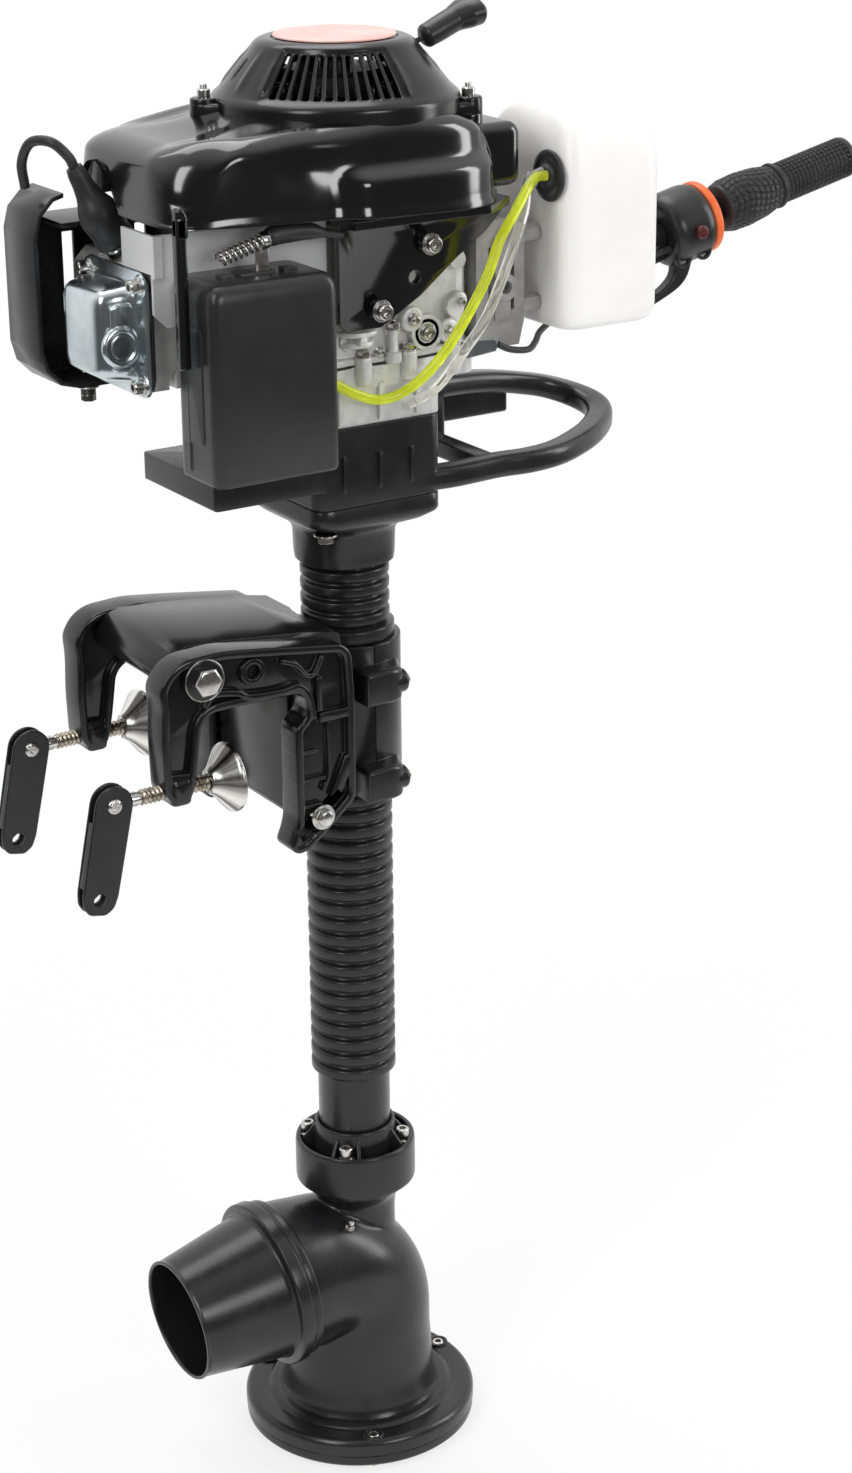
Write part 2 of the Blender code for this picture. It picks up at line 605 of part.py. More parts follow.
def cylinder():
    comb = []
    right, left = -60.4, HEAD_X
    pitch, fins = 9.0, 9
    for k in range(fins):
        x = right - 6 - k * pitch
        comb += [(x, 280), (x - 5, 280), (x - 5, 270), (x - pitch, 270)]
    comb = [(right, 280)] + comb + [(left, 270), (left, 342)]
    upper = []
    for k in range(fins):
        x = right - 6 - k * pitch
        upper += [(x - pitch, 342), (x - 5, 342), (x - 5, 332), (x, 332)]
    order = []
    for k in reversed(range(fins)):
        order += upper[4 * k:4 * k + 4]
    ob = plate(comb + order + [(right, 332)], -34, 40)
    join(ob, rod(PLUG_BASE - PLUG_D * 12, PLUG_BASE - PLUG_D * GAP, 8.5, 12))
    named(ob, "cylinder", "aluminium")


def valve_train_cover():
    g = plate(rounded(-42, 42, BORE_Z - 38, BORE_Z + 38, 12, 2), HEAD_X - 2.2, HEAD_X - GAP, "YZ")
    named(g, "head_gasket", "rubber")
    x = HEAD_X - 2.5
    def ring(hy, hz, r, xx):
        return [(xx, y, z) for y, z in rounded(-hy, hy, BORE_Z - hz, BORE_Z + hz, r, 3)]
    ob = from_rings([ring(42, 39, 12, x), ring(42, 39, 12, x - 2.4), ring(41, 38, 11, x - 3.2), ring(31, 31, 9, x - 3.4),
                     ring(28, 29, 9, x - 6), ring(25, 27, 8, x - 24), ring(21, 24, 6, x - 27.5)])
    for sy in (-1, 1):
        for sz in (-1, 1):
            y, z = sy * 35, BORE_Z + sz * 31
            join(ob, rod((x - 1, y, z), (x - 9, y, z), 4.2, 8))
            cut(ob, rod((x - 6, y, z), (x - 12, y, z), 2.0, 6))
    named(ob, "valve_cover", "zinc")


def plug_and_lead():
    base, d = PLUG_BASE, PLUG_D
    ob = turned([(0, 0), (7, 0), (7, 2), (10, 2), (10, 9), (6, 10), (5.5, 20), (0, 20)], 10, base, d)
    named(ob, "spark_plug", "white_plastic")
    tip = base + d * 12
    up = Vector((-0.42, 0.10, 0.90)).normalized()
    elbow = tip + d * 22
    boot = turned([(0, -1), (11, -1), (13, 8), (12, 20), (9, 27), (0, 28)], 12, tip, d)
    join(boot, cone(elbow - up * 4, elbow + up * 28, 9, 5.5, 10))
    cut(boot, rod(base, base + d * 20.4, 10.5, 12))
    named(boot, "plug_boot", "rubber")
    start = elbow + up * 28.4
    hose([start, start + up * 8, start + Vector((-12, 6, 16)), start + Vector((-18, 22, 14)), start + Vector((-18, 36, 0)),
          start + Vector((-14, 42, -16))], 3.2, "plug_lead", "rubber")


def muffler():
    ob = block(-150, -72, 46, 84, 273, 342, 8, 1)
    join(ob, block(-122, -98, 40.4, 47, 290, 322), rod((-111, 83, 306), (-111, 84.7, 306), 9, 10))
    named(ob, "muffler", "grey_metal")
    outer = rounded(-193, -66, 258, 384, 27, 3)
    inner = rounded(-190, -69, 261, 381, 24, 3)
    guard = plate(outer, 44, 88)
    cut(guard, plate(inner, 40, 85), block(-171, -60, 30, 100, 364, 400))
    join(guard, block(-174, -66, 44, 88, 361, 364))
    for x in (-176, -150, -124, -98):
        cut(guard, block(x - 4, x + 4, 82, 92, 300, 350))
    cut(guard, block(-120, -60, 40, 85, 264, 361))
    join(guard, rod((-158, 50, 259), (-158, 50, 248), 5, 6))
    named(guard, "muffler_guard", "satin_black")


def carburettor():
    ob = block(-102, -66, -51.7, -34.4, 272, 306, 2, 1)
    named(ob, "carburettor", "aluminium")


def air_box():
    x0, x1, y0, y1, z0, z1 = -148, -60, -101, -52, 221, 345
    def ring(inset, z, r):
        return [(x, y, z) for x, y in rounded(x0 + inset, x1 - inset, y0 + inset, y1, r, 2)]
    ob = from_rings([ring(2, z0, 4), ring(0, z0 + 3, 5), ring(0, z1 - 5, 5), ring(4, z1, 3)])
    cut(ob, block(x0 - 4, x0 + 2, y0 + 13, y1 - 6, z0 + 22, z1 - 26, 1, 1))
    cut(ob, block(x0 + 5, x1 - 5, y0 + 5, y1 - 10, z0 + 6, z1 - 8))
    cut(ob, rod((-84, -64, 289), (-84, -40, 289), 11, 12))
    named(ob, "air_box", "satin_black")
    foam = block(x0 + 5.3, x1 - 5.3, y0 + 5.3, y1 - 10.3, z0 + 6.3, z1 - 8.3)
    named(foam, "air_filter", "foam")


def bracket_plate():
    front = [(-38, 366), (-38, 302), (-32, 297), (-8, 297), (22, 314), (48, 334), (72, 350), (88, 366)]
    ob = plate(front, -64, -58)
    join(ob, plate([(-38, -84), (62, -84), (88, -66), (88, -48), (-38, -48)], 364, 369.6, "XY"))
    for x, z in ((-11, 309), (26, 347)):
        join(ob, rod((x, -70, z), (x, -52.3, z), 5.6, 10))
        cut(ob, rod((x, -75, z), (x, -67, z), 2.6, 6))
    cut(ob, rod((17.5, -70, 326), (17.5, -50, 326), 4.5, 10))
    named(ob, "bracket_plate", "satin_black")


def baffle():
    ob = plate([(-161, -51.7), (-39.5, -51.7), (-39.5, -49.4), (-158.6, -49.4), (-158.6, -12), (-161, -12)], 346, 369.7, "XY")
    join(ob, plate([(-152, 313), (-39.5, 313), (-39.5, 350), (-161, 350), (-161, 322)], -51.7, -49.4))
    join(ob, block(-161, -155, -54, -49.8, 344, 369.7))
    named(ob, "baffle", "grey_metal")


def shroud_outline(grow, z):
    """Fan spiral round the crankshaft that runs into a tail over the cylinder."""
    points = []
    for i in range(28):
        a = 2 * math.pi * i / 28
        c, s = math.cos(a), math.sin(a)
        tail = max(0.0, -c)
        nose = max(0.0, c)
        x = 98 * nose ** 0.62 - 158 * tail ** 0.5
        y = math.copysign(abs(s) ** (0.62 if c > 0 else 0.5), s) * (84 - 14 * tail - 16 * nose ** 2)
        points.append((x * (1 - grow), y * (1 - grow), z))
    return points


def shroud():
    low, top = SHROUD_LOW, SHROUD_TOP
    ob = from_rings([shroud_outline(0.0, low), shroud_outline(0.0, low + 26), shroud_outline(0.02, low + 40),
                     shroud_outline(0.07, top - 8), shroud_outline(0.16, top - 2), shroud_outline(0.26, top)])
    join(ob, block(-44, 68, -88, -60, low + 2, 402, 7, 1), block(60, 103, -60, 60, low + 4, 417, 5, 1), rod((72, -43.3, low + 4), (72, -43.3, top), 9, 12))
    cut(ob, from_rings([shroud_outline(0.035, low - 5), shroud_outline(0.035, low + 26), shroud_outline(0.06, low + 40),
                        shroud_outline(0.11, top - 12), shroud_outline(0.20, top - 5)]))
    cut(ob, rod((0, 0, top - 20), (0, 0, top + 10), 60, 24))
    # way out for the plug and its boot
    cut(ob, rod((-190, 22, 372), (-135, 22, 372), 31, 16))
    named(ob, "shroud", "gloss_black")


EAR_SPOTS = ((82, 155), (84, -31), (82, 62))
ROPE_A = Vector((65.5, 0, 463.2))
ROPE_D = Vector((0.945, 0, 0.328)).normalized()


def recoil_cover():
    b = SHROUD_TOP + GAP
    t = COVER_TOP
    ob = turned([(75, b), (79, b), (79, b + 7), (72, b + 18), (46, t - 3), (42, t), (14, t), (14, t - 3), (42, t - 5), (68, b + 17), (75, b + 6)], 24)
    for r, deg in EAR_SPOTS:
        a = math.radians(deg)
        x, y = r * math.cos(a), r * math.sin(a)
        ear = rod((x, y, b), (x, y, b + 4.5), 9, 12)
        join(ob, ear)
        join(ob, rod((x, y, b + 4), (x, y, b + 8), 4.2, 8))
    for deg in [-121 + 10.5 * k for k in (-3, -2, -1, 0, 1, 2, 3)] + [16 + 10.5 * k for k in (1, 2, 3)] + [108 + 10.5 * k for k in (-2, -1, 0, 1)]:
        a = math.radians(deg)
        c, s = math.cos(a), math.sin(a)
        u = Vector((c, s, 0))
        v = Vector((-s, c, 0)) * 2.6
        quad = [(50, b + 12), (85, b + 12), (85, b + 19), (50, b + 31)]
        cut(ob, from_rings([[u * r + v * m + Vector((0, 0, z)) for r, z in quad] for m in (-1, 1)]))
    # rope guide
    join(ob, block(40, 62, -9, 9, t - 18, t - 1, 2, 1))
    join(ob, turned([(0, 437), (6.1, 437), (6.1, t - 6), (18, t - 6), (18, t - 1), (0, t - 1)], 14))
    cut(ob, rod(ROPE_A - ROPE_D * 44, ROPE_A + ROPE_D * 12, 2.2, 10))
    named(ob, "recoil_cover", "satin_black")
    disc = turned([(0, t + GAP), (41, t + GAP), (41, t + 1.6), (39, t + 2.2), (0, t + 2.2)], 28)
    named(disc, "recoil_disc", "salmon")


def starter():
    d = ROPE_D
    ob = turned([(0, 0), (8, 0), (9.5, 6), (9, 22), (12, 30), (16, 36), (16, 41), (11, 45), (0, 45)], 14, ROPE_A, d)
    named(ob, "pull_handle", "satin_black", ROPE_A)
    rope = rod(ROPE_A - d * 33, ROPE_A - d * GAP, 1.8, 8)
    named(rope, "starter_rope", "foam", ROPE_A)
    pulley = turned([(6.5, 436), (32, 436), (27, 441), (27, 447), (32, 451), (6.5, 451)], 14)
    named(pulley, "starter_pulley", "satin_black", (0, 0, 443))


def flywheel():
    ob = turned([(9.5, 376), (70, 376), (74, 380), (74, 388), (20, 388), (20, 400), (9.5, 400)], 20)
    for k in range(8):
        a = 2 * math.pi * k / 8
        u = Vector((math.cos(a), math.sin(a), 0))
        v = Vector((-math.sin(a), math.cos(a), 0))
        quad = [u * 34 - v * 1.5, u * 71 + v * 10 - v * 1.5, u * 71 + v * 10 + v * 1.5, u * 34 + v * 1.5]
        join(ob, from_rings([[q + Vector((0, 0, z)) for q in quad] for z in (386, 408)]))
    named(ob, "flywheel", "aluminium")


def throttle():
    y = -55
    ob = plate(arc(62, 272, 6, 90, 270, 6) + [(84, 268), (86, 272), (84, 276)], y - 1.5, y + 1.5)
    join(ob, rod((62, y - 3, 272), (62, -50.4, 272), 3.5, 10))
    named(ob, "throttle_lever", "zinc", (62, y, 272))


# fuel

def tank():
    x0, x1, y0, y1, z0, z1 = TANK
    def ring(inset, z, r, dome=0.0):
        return [(x, y, z + dome * (1 - ((y - y0) / (y1 - y0) * 2 - 1) ** 2)) for x, y in
                rounded(x0 + inset * 0.6, x1 - inset, y0 + inset, y1 - inset, r, 3)]
    ob = from_rings([ring(9, z0, 8), ring(3, z0 + 2.5, 12), ring(0, z0 + 9, 14), ring(0, z1 - 34, 14), ring(2, z1 - 22, 15),
                     ring(7, z1 - 9, 15), ring(16, z1 - 1, 13), ring(24, z1 + 1, 10)])
    inner = from_rings([ring(8, z0 + 4, 8), ring(4, z1 - 34, 10), ring(8, z1 - 22, 10), ring(22, z1 - 6, 8)])
    cut(ob, inner)
    cut(ob, rod((x1 - 12, -20, 382), (x1 + 8, -20, 382), 15, 16))
    cut(ob, rod((x0 - 6, -54, 377), (x0 + 8, -54, 377), 7.4, 12))
    named(ob, "tank", "white_plastic", smooth=50)
    def cap_ring(x, r, ripple=0.0):
        return [(x, -20 + (r + ripple * (i % 4 < 2)) * math.cos(2 * math.pi * i / 24),
                 382 + (r + ripple * (i % 4 < 2)) * math.sin(2 * math.pi * i / 24)) for i in range(24)]
    cap = from_rings([cap_ring(x1 - 5, 13.5), cap_ring(x1 + GAP, 13.5), cap_ring(x1 + GAP + 0.1, 18), cap_ring(x1 + 3, 18.4, 1.2),
                      cap_ring(x1 + 12, 18.4, 1.2), cap_ring(x1 + 14, 16.5)])
    named(cap, "tank_cap", "satin_black", (x1, -20, 382))
    g = turned([(0, 3), (6.8, 3), (6.8, -0.4), (16, -0.4), (16.5, -3), (9, -7), (0, -7)], 12, (x0, -54, 377), (1, 0, 0))
    named(g, "hose_grommet", "rubber")


def hoses():
    x = TANK[0] - 7.4
    hose([(x, -58.4, 378), (x - 8, -58.4, 378), (101, -66, 372), (88, -72, 360), (74, -76, 345), (64, -77, 324), (50, -77, 302),
          (37, -74, 282), (24, -70, 266), (9, -65, 254), (-8, -62, 250), (-26, -62, 256), (-42, -62, 265), (-52, -62, 268),
          (-59.3, -62, 268)], 3.4, "fuel_hose", "fuel_yellow")
    hose([(x, -49.6, 376), (x - 8, -49.6, 376), (104, -60, 360), (91, -67, 339), (78, -70, 315), (66, -70, 293), (51, -66, 272),
          (39, -60, 254), (29, -57.8, 247), (19, -51.8, 241)], 3.4, "vent_hose", "clear_hose")
    hose([(86.4, -55, 272), (97, -54, 267), (116, -47, 263), (135, -28, 262), (160, 0, 262), (200, 24, 268), (248, 36, 283),
          (283.3, 38, 292.1), (297, 38, 295.2)], 2.2, "throttle_cable", "rubber", 16)


# tiller

def tiller():
    a, d = TILLER_A, TILLER_D
    tube = turned([(0, 0), (11, 0), (11, 258), (7, 260), (7, 372), (0, 372)], 16, a, d)
    named(tube, "tiller_tube", "satin_black")
    side = Vector((0, 1, 0))
    up = d.cross(side)
    base = a + d * 206
    house = turned([(11.4, 0), (24, 0), (27, 6), (27, 30), (25, 34), (11.4, 34)], 16, base, d)
    horn = [(-6, -20), (24, -20), (20, -44), (4, -58), (-22, -66), (-24, -60), (0, -50), (6, -40)]
    join(house, from_rings([[base + d * p + up * q + side * m for p, q in horn] for m in (-8, 8)]))
    cut(house, rod(base - d * 4, base + d * 40, 11.4, 16))
    button = base + d * 18
    cut(house, rod(button - side * 35, button - side * 24.8, 5.5, 12))
    named(house, "grip_housing", "satin_black")
    r = turned([(11.4, 0), (25, 0), (26, 1.5), (26, 5), (11.4, 6.5)], 20, base + d * 34.3, d)
    named(r, "orange_ring", "orange")
    grip = turned([(0, 0), (17, 0), (19, 8), (20, 22), (18.5, 38), (15.6, 50), (16.8, 51), (16.8, 53), (15, 54), (15, 118),
                   (13, 121), (0, 121)], 16, base + d * 54.5, d)
    cut(grip, rod(base + d * 50, base + d * (54.5 + 116), 7.4, 16))
    named(grip, "twist_grip", "rubber", base + d * 54.5)
    stop = turned([(0, 0), (5, 0), (5, 4), (4, 5), (0, 5)], 12, button - side * 26.6, -side)
    named(stop, "stop_switch", "red", button - side * 26.6)


for make in (bracket_pair, tilt_bolt, clamp_screws, saddle, sleeve_cap, trim_bolt, leg_tube):
    make()
ribs(-251, SLEEVE_LOW - 1.5, "ribs_lower")
ribs(SLEEVE_HIGH + 10.4, 127.6, "ribs_upper")
for make in (adapter, deck, pump_collar, pump_body, nozzle, intake_plate, impeller, drive_shaft, crankshaft, crankcase, rear_casting,
             cylinder, valve_train_cover, plug_and_lead, muffler, carburettor, air_box, bracket_plate, baffle, shroud, recoil_cover,
             starter, flywheel, throttle, tank, hoses, tiller):
    make()
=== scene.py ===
import math

import bmesh
import bpy
import numpy as np
from mathutils import Matrix, Vector


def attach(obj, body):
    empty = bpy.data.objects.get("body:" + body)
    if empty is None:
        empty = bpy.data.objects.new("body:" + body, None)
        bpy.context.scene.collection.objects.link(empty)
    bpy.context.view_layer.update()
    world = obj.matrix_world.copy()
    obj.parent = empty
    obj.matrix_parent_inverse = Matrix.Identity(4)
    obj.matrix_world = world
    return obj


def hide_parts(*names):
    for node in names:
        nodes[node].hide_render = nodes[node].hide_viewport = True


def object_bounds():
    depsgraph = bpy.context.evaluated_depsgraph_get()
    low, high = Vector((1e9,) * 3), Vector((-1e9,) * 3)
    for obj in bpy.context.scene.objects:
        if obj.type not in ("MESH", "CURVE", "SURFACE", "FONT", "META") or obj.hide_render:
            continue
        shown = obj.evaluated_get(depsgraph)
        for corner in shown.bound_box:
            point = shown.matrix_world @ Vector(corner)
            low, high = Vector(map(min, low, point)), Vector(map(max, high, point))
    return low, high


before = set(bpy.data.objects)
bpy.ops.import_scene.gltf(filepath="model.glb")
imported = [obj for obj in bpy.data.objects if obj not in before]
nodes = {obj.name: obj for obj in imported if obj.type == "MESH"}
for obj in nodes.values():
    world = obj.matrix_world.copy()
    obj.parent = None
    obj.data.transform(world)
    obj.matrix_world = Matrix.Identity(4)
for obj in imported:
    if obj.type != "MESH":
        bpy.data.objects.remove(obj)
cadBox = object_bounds()
scene = bpy.context.scene
legShift = np.array([80.0, 0.0, -68.0])   # shapes are in mm about the leg's axis, and this moves them to the part's origin
print("frame loaded:", len(nodes), "nodes")


# shapes

planes = {"XZ": ((1, 0, 0), (0, 0, 1), (0, 1, 0)), "XY": ((1, 0, 0), (0, 1, 0), (0, 0, 1)), "YZ": ((0, 1, 0), (0, 0, 1), (1, 0, 0))}


def unit(v):
    v = np.asarray(v, float)
    return v / np.maximum(np.linalg.norm(v, axis=-1, keepdims=True), 1e-12)


def basis(axis):
    """Two directions across an axis, and the axis itself."""
    w = unit(axis)
    u = np.array([1.0, 0, 0]) if abs(w[2]) > 0.999 else unit(np.cross([0, 0, 1], w))
    return u, np.cross(w, u), w


def shell(grid, around=True, loop=False, caps=True, hide=None):
    return {"grid": np.asarray(grid, float), "around": around, "loop": loop, "caps": caps, "hide": hide}


def filleted(corners, radius, steps=4, closed=True):
    # each corner gives way to the curve (1-t)^2 a + 2t(1-t) corner + t^2 b, where a and b lie at the radius on its two sides
    p = np.asarray(corners, float)
    r = np.broadcast_to(np.asarray(radius, float), (len(p),)).copy()
    before, after = np.roll(p, 1, 0) - p, np.roll(p, -1, 0) - p
    if not closed:
        r[0] = r[-1] = 0
    lb, la = np.linalg.norm(before, axis=1), np.linalg.norm(after, axis=1)
    r = np.minimum(r, 0.49 * np.minimum(lb, la))[:, None]
    a, b = p + unit(before) * r, p + unit(after) * r
    t = np.linspace(0, 1, steps + 1)[None, :, None]
    out = (1 - t) ** 2 * a[:, None] + 2 * t * (1 - t) * p[:, None] + t ** 2 * b[:, None]
    flat = out.reshape(-1, p.shape[1])
    keep = np.concatenate([[True], np.linalg.norm(np.diff(flat, axis=0), axis=1) > 1e-6])
    return flat[keep]


def curve(points, perSpan=8, closed=False):
    # the smooth cubic through the points: each span is weighed from its four nearest points
    p = np.asarray(points, float)
    p = np.concatenate([p[-1:], p, p[:2]]) if closed else np.concatenate([[2 * p[0] - p[1]], p, [2 * p[-1] - p[-2]]])
    t = np.linspace(0, 1, perSpan, endpoint=False)[None, :, None]
    a, b, c, d = (p[i:len(p) - 3 + i, None] for i in range(4))
    out = 0.5 * (2 * b + (c - a) * t + (2 * a - 5 * b + 4 * c - d) * t ** 2 + (3 * b - a - 3 * c + d) * t ** 3)
    out = out.reshape(-1, p.shape[1])
    return out if closed else np.concatenate([out, p[-2:-1]])


def even(path, count):
    """The same line, as count points at equal distances."""
    path = np.asarray(path, float)
    run = np.concatenate([[0], np.cumsum(np.linalg.norm(np.diff(path, axis=0), axis=1))])
    want = np.linspace(0, run[-1], count)
    return np.stack([np.interp(want, run, path[:, i]) for i in range(path.shape[1])], 1)


def inset(outline, by):
    # each point moves along the mean of its two edge normals, stretched so that both edges move by the same distance
    p = np.asarray(outline, float)
    e = unit(np.roll(p, -1, 0) - p)
    n = np.stack([-e[:, 1], e[:, 0]], 1)
    area = np.sum(p[:, 0] * np.roll(p[:, 1], -1) - p[:, 1] * np.roll(p[:, 0], -1))
    n = n if area > 0 else -n
    m = n + np.roll(n, 1, 0)
    q = p + m / np.maximum(1 + np.sum(n * np.roll(n, 1, 0), 1), 0.35)[:, None] * by
    for _ in range(6):
        # edges that a tight corner has turned back shrink to the mean of their points
        turned = np.sum((np.roll(q, -1, 0) - q) * e, 1) <= 0
        group = np.cumsum(~np.roll(turned, 1))
        group = np.where(group == group[-1], group[0], group) if turned[-1] else group
        total, count = np.zeros((group.max() + 1, 2)), np.bincount(group, minlength=group.max() + 1)
        np.add.at(total, group, q)
        q = (total / np.maximum(count, 1)[:, None])[group]
    return q


def put(outline, height, plane):
    u, v, w = (np.array(x, float) for x in (planes[plane] if isinstance(plane, str) else plane[1:]))
    base = 0 if isinstance(plane, str) else np.asarray(plane[0], float)
    return base + outline[:, :1] * u + outline[:, 1:2] * v + height * w


def slab(outline, low, high, plane="XZ", edge=1.0, steps=3, draft=0.0):
    # the outline carried from low to high, drawn in along a quarter circle of radius edge at both ends
    t = np.linspace(0, np.pi / 2, steps + 1)
    ins = edge * (1 - np.sin(t))
    up = edge * (1 - np.cos(t))
    rows = [put(inset(outline, i), low + h, plane) for i, h in zip(ins, up)]
    rows += [put(inset(outline, i + draft), high - h, plane) for i, h in zip(ins[::-1], up[::-1])]
    return shell(rows)


def rim(outline, width, low, high, plane="XZ", edge=1.2, outer=0.0):
    # a bar of rounded section carried along the outline's inner side: each section point (s, h) is the outline inset by s at height h
    section = filleted([(outer, low), (outer, high), (width, high), (width, low)], edge, 3)
    return shell([put(inset(outline, s), h, plane) for s, h in section], loop=True, caps=False)


def roundedBox(x0, x1, y0, y1, r, steps=6):
    return filleted([(x0, y0), (x1, y0), (x1, y1), (x0, y1)], r, steps)


def lathe(profile, centre=(0, 0, 0), axis=(0, 0, 1), count=72, loop=False, wave=None):
    # point = centre + r cos(a) u + r sin(a) v + h w for each radius and height (r, h) of the profile and each angle a
    r, h = np.asarray(profile, float).T
    u, v, w = basis(axis)
    a = np.linspace(0, 2 * np.pi, count, endpoint=False)
    r = r[:, None] + (0 if wave is None else wave(r[:, None], h[:, None], a[None]))
    grid = np.asarray(centre, float) + h[:, None, None] * w + r[..., None] * (np.cos(a)[:, None] * u + np.sin(a)[:, None] * v)
    return shell(grid, loop=loop, caps=not loop)


def sweep(path, section, hint=(0, 0, 1), scale=1.0, caps=True):
    # section points (a, b) ride on the path's side and normal directions, times scale at each station
    path = np.asarray(path, float)
    t = unit(np.gradient(path, axis=0))
    side = unit(np.cross(t, np.asarray(hint, float)))
    norm = np.cross(side, t)
    s = np.asarray(section, float)
    k = np.broadcast_to(np.asarray(scale, float).reshape(-1, 1) if np.ndim(scale) < 2 else scale, (len(path), 2 if np.ndim(scale) == 2 else 1))
    ka, kb = k[:, :1], k[:, -1:]
    return shell(path[:, None] + (s[None, :, 0] * ka)[..., None] * side[:, None] + (s[None, :, 1] * kb)[..., None] * norm[:, None], caps=caps)


def circle(radius, count=24):
    a = np.linspace(0, 2 * np.pi, count, endpoint=False)
    return np.stack([radius * np.cos(a), radius * np.sin(a)], 1)


def facesOf(s, start):
    """Quads between neighbouring rings and a face on each open end, turned outwards by the sign of the volume."""
    rows, cols = s["grid"].shape[:2]
    i = np.arange(rows if s["loop"] else rows - 1)[:, None]
    j = np.arange(cols if s["around"] else cols - 1)[None]
    i2, j2 = (i + 1) % rows, (j + 1) % cols
    quads = np.stack([i * cols + j, i * cols + j2, i2 * cols + j2, i2 * cols + j], -1)
    quads = quads[~s["hide"]] if s["hide"] is not None else quads.reshape(-1, 4)
    p = s["grid"].reshape(-1, 3)
    mid = p.mean(0)
    q = p[quads] - mid
    volume = np.einsum("ij,ij->", q[:, 0], np.cross(q[:, 1], q[:, 2])) + np.einsum("ij,ij->", q[:, 0], np.cross(q[:, 2], q[:, 3]))
    faces = quads.tolist()
    if s["caps"]:
        for ring, flip in ((np.arange(cols), True), (np.arange(cols) + (rows - 1) * cols, False)):
            if np.ptp(p[ring], axis=0).max() > 1e-4:
                faces.append((ring[::-1] if flip else ring).tolist())
                c = p[ring] - mid
                fan = np.einsum("ij,ij->", np.broadcast_to(c[0], c[1:-1].shape), np.cross(c[1:-1], c[2:]))
                volume += -fan if flip else fan
    if volume < 0:
        faces = [f[::-1] for f in faces]
    return [[k + start for k in f] for f in faces]


def meshOf(name, shells):
    verts, faces, start = [], [], 0
    for s in shells:
        faces += facesOf(s, start)
        verts.append(s["grid"].reshape(-1, 3))
        start += len(verts[-1])
    mesh = bpy.data.meshes.new(name)
    mesh.from_pydata(((np.concatenate(verts) + legShift) * 0.001).tolist(), [], faces)
    return mesh


def cutMesh(name, shells, cutter):
    # each shell whose box meets the cutter's box loses the cutter's solid, one at a time, and all of them end in one mesh
    low, high = cutter["grid"].min((0, 1)), cutter["grid"].max((0, 1))
    meets = [bool(np.all(s["grid"].min((0, 1)) < high) and np.all(s["grid"].max((0, 1)) > low)) for s in shells]
    tool = bpy.data.objects.new("cutter", meshOf("cutter", [cutter]))
    scene.collection.objects.link(tool)
    bm = bmesh.new()
    bm.from_mesh(meshOf("whole", [s for s, m in zip(shells, meets) if not m]))
    for s in [s for s, m in zip(shells, meets) if m]:
        ob = bpy.data.objects.new("blank", meshOf("blank", [s]))
        scene.collection.objects.link(ob)
        m = ob.modifiers.new("cut", "BOOLEAN")
        m.operation, m.solver, m.object = "DIFFERENCE", "EXACT", tool
        bm.from_mesh(bpy.data.meshes.new_from_object(ob.evaluated_get(bpy.context.evaluated_depsgraph_get())))
        bpy.data.objects.remove(ob)
    bpy.data.objects.remove(tool)
    mesh = bpy.data.meshes.new(name)
    bm.to_mesh(mesh)
    bm.free()
    return mesh


def piece(name, shells, finish, body, stands=(), sharp=32, bevel=0.0, wall=0.0, weld=True, cutter=None):
    """One object from its shells, in metres, riding on a body of the frame."""
    mesh = cutMesh(name, shells, cutter) if cutter else meshOf(name, shells)
    if weld:
        bm = bmesh.new()
        bm.from_mesh(mesh)
        bmesh.ops.remove_doubles(bm, verts=bm.verts, dist=1e-6)
        loose = [v for v in bm.verts if not v.link_faces]
        bmesh.ops.delete(bm, geom=loose, context="VERTS")
        bm.to_mesh(mesh)
        bm.free()
    return dress(bpy.data.objects.new(name, mesh), finish, body, stands, sharp, bevel, wall)


def dress(ob, finish, body, stands=(), sharp=32, bevel=0.0, wall=0.0):
    """Links, shades and finishes a made mesh, and puts it on its body."""
    if ob.name not in scene.collection.objects:
        scene.collection.objects.link(ob)
    mesh = ob.data
    mesh.materials.clear()
    mesh.materials.append(finishes[finish])
    if wall:
        m = ob.modifiers.new("wall", "SOLIDIFY")
        m.thickness, m.offset = wall * 0.001, -1
    if bevel:
        m = ob.modifiers.new("edge", "BEVEL")
        m.width, m.segments, m.limit_method, m.angle_limit, m.harden_normals = bevel * 0.001, 2, "ANGLE", math.radians(32), True
        m.use_clamp_overlap = True
        mesh.shade_smooth()
    else:
        mesh.shade_smooth()
        mesh.set_sharp_from_angle(angle=math.radians(sharp))
    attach(ob, body)
    if stands:
        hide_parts(*stands)
    return ob


def softened(node, finish, body, width, flat=2.0):
    """A copy of a CAD node with its doubles merged, its flats cleaned and its edges rounded."""
    ob = nodes[node].copy()
    ob.data = nodes[node].data.copy()
    for key in list(ob.keys()):
        del ob[key]
    ob.parent = None
    ob.name = "soft_" + node
    bm = bmesh.new()
    bm.from_mesh(ob.data)
    bmesh.ops.remove_doubles(bm, verts=bm.verts, dist=1e-5)
    bmesh.ops.dissolve_limit(bm, angle_limit=math.radians(flat), verts=bm.verts, edges=bm.edges)
    bm.to_mesh(ob.data)
    bm.free()
    return dress(ob, finish, body, (node,), bevel=width)


def rotated(shells, angle, axis=(0, 0, 1), centre=(0, 0, 0)):
    m = np.array(Matrix.Rotation(angle, 3, Vector(axis)))
    c = np.asarray(centre, float)
    return [dict(s, grid=(s["grid"] - c) @ m.T + c) for s in shells]


def mirrored(shells):
    return [dict(s, grid=s["grid"] * np.array([1, -1, 1])) for s in shells]


# finishes

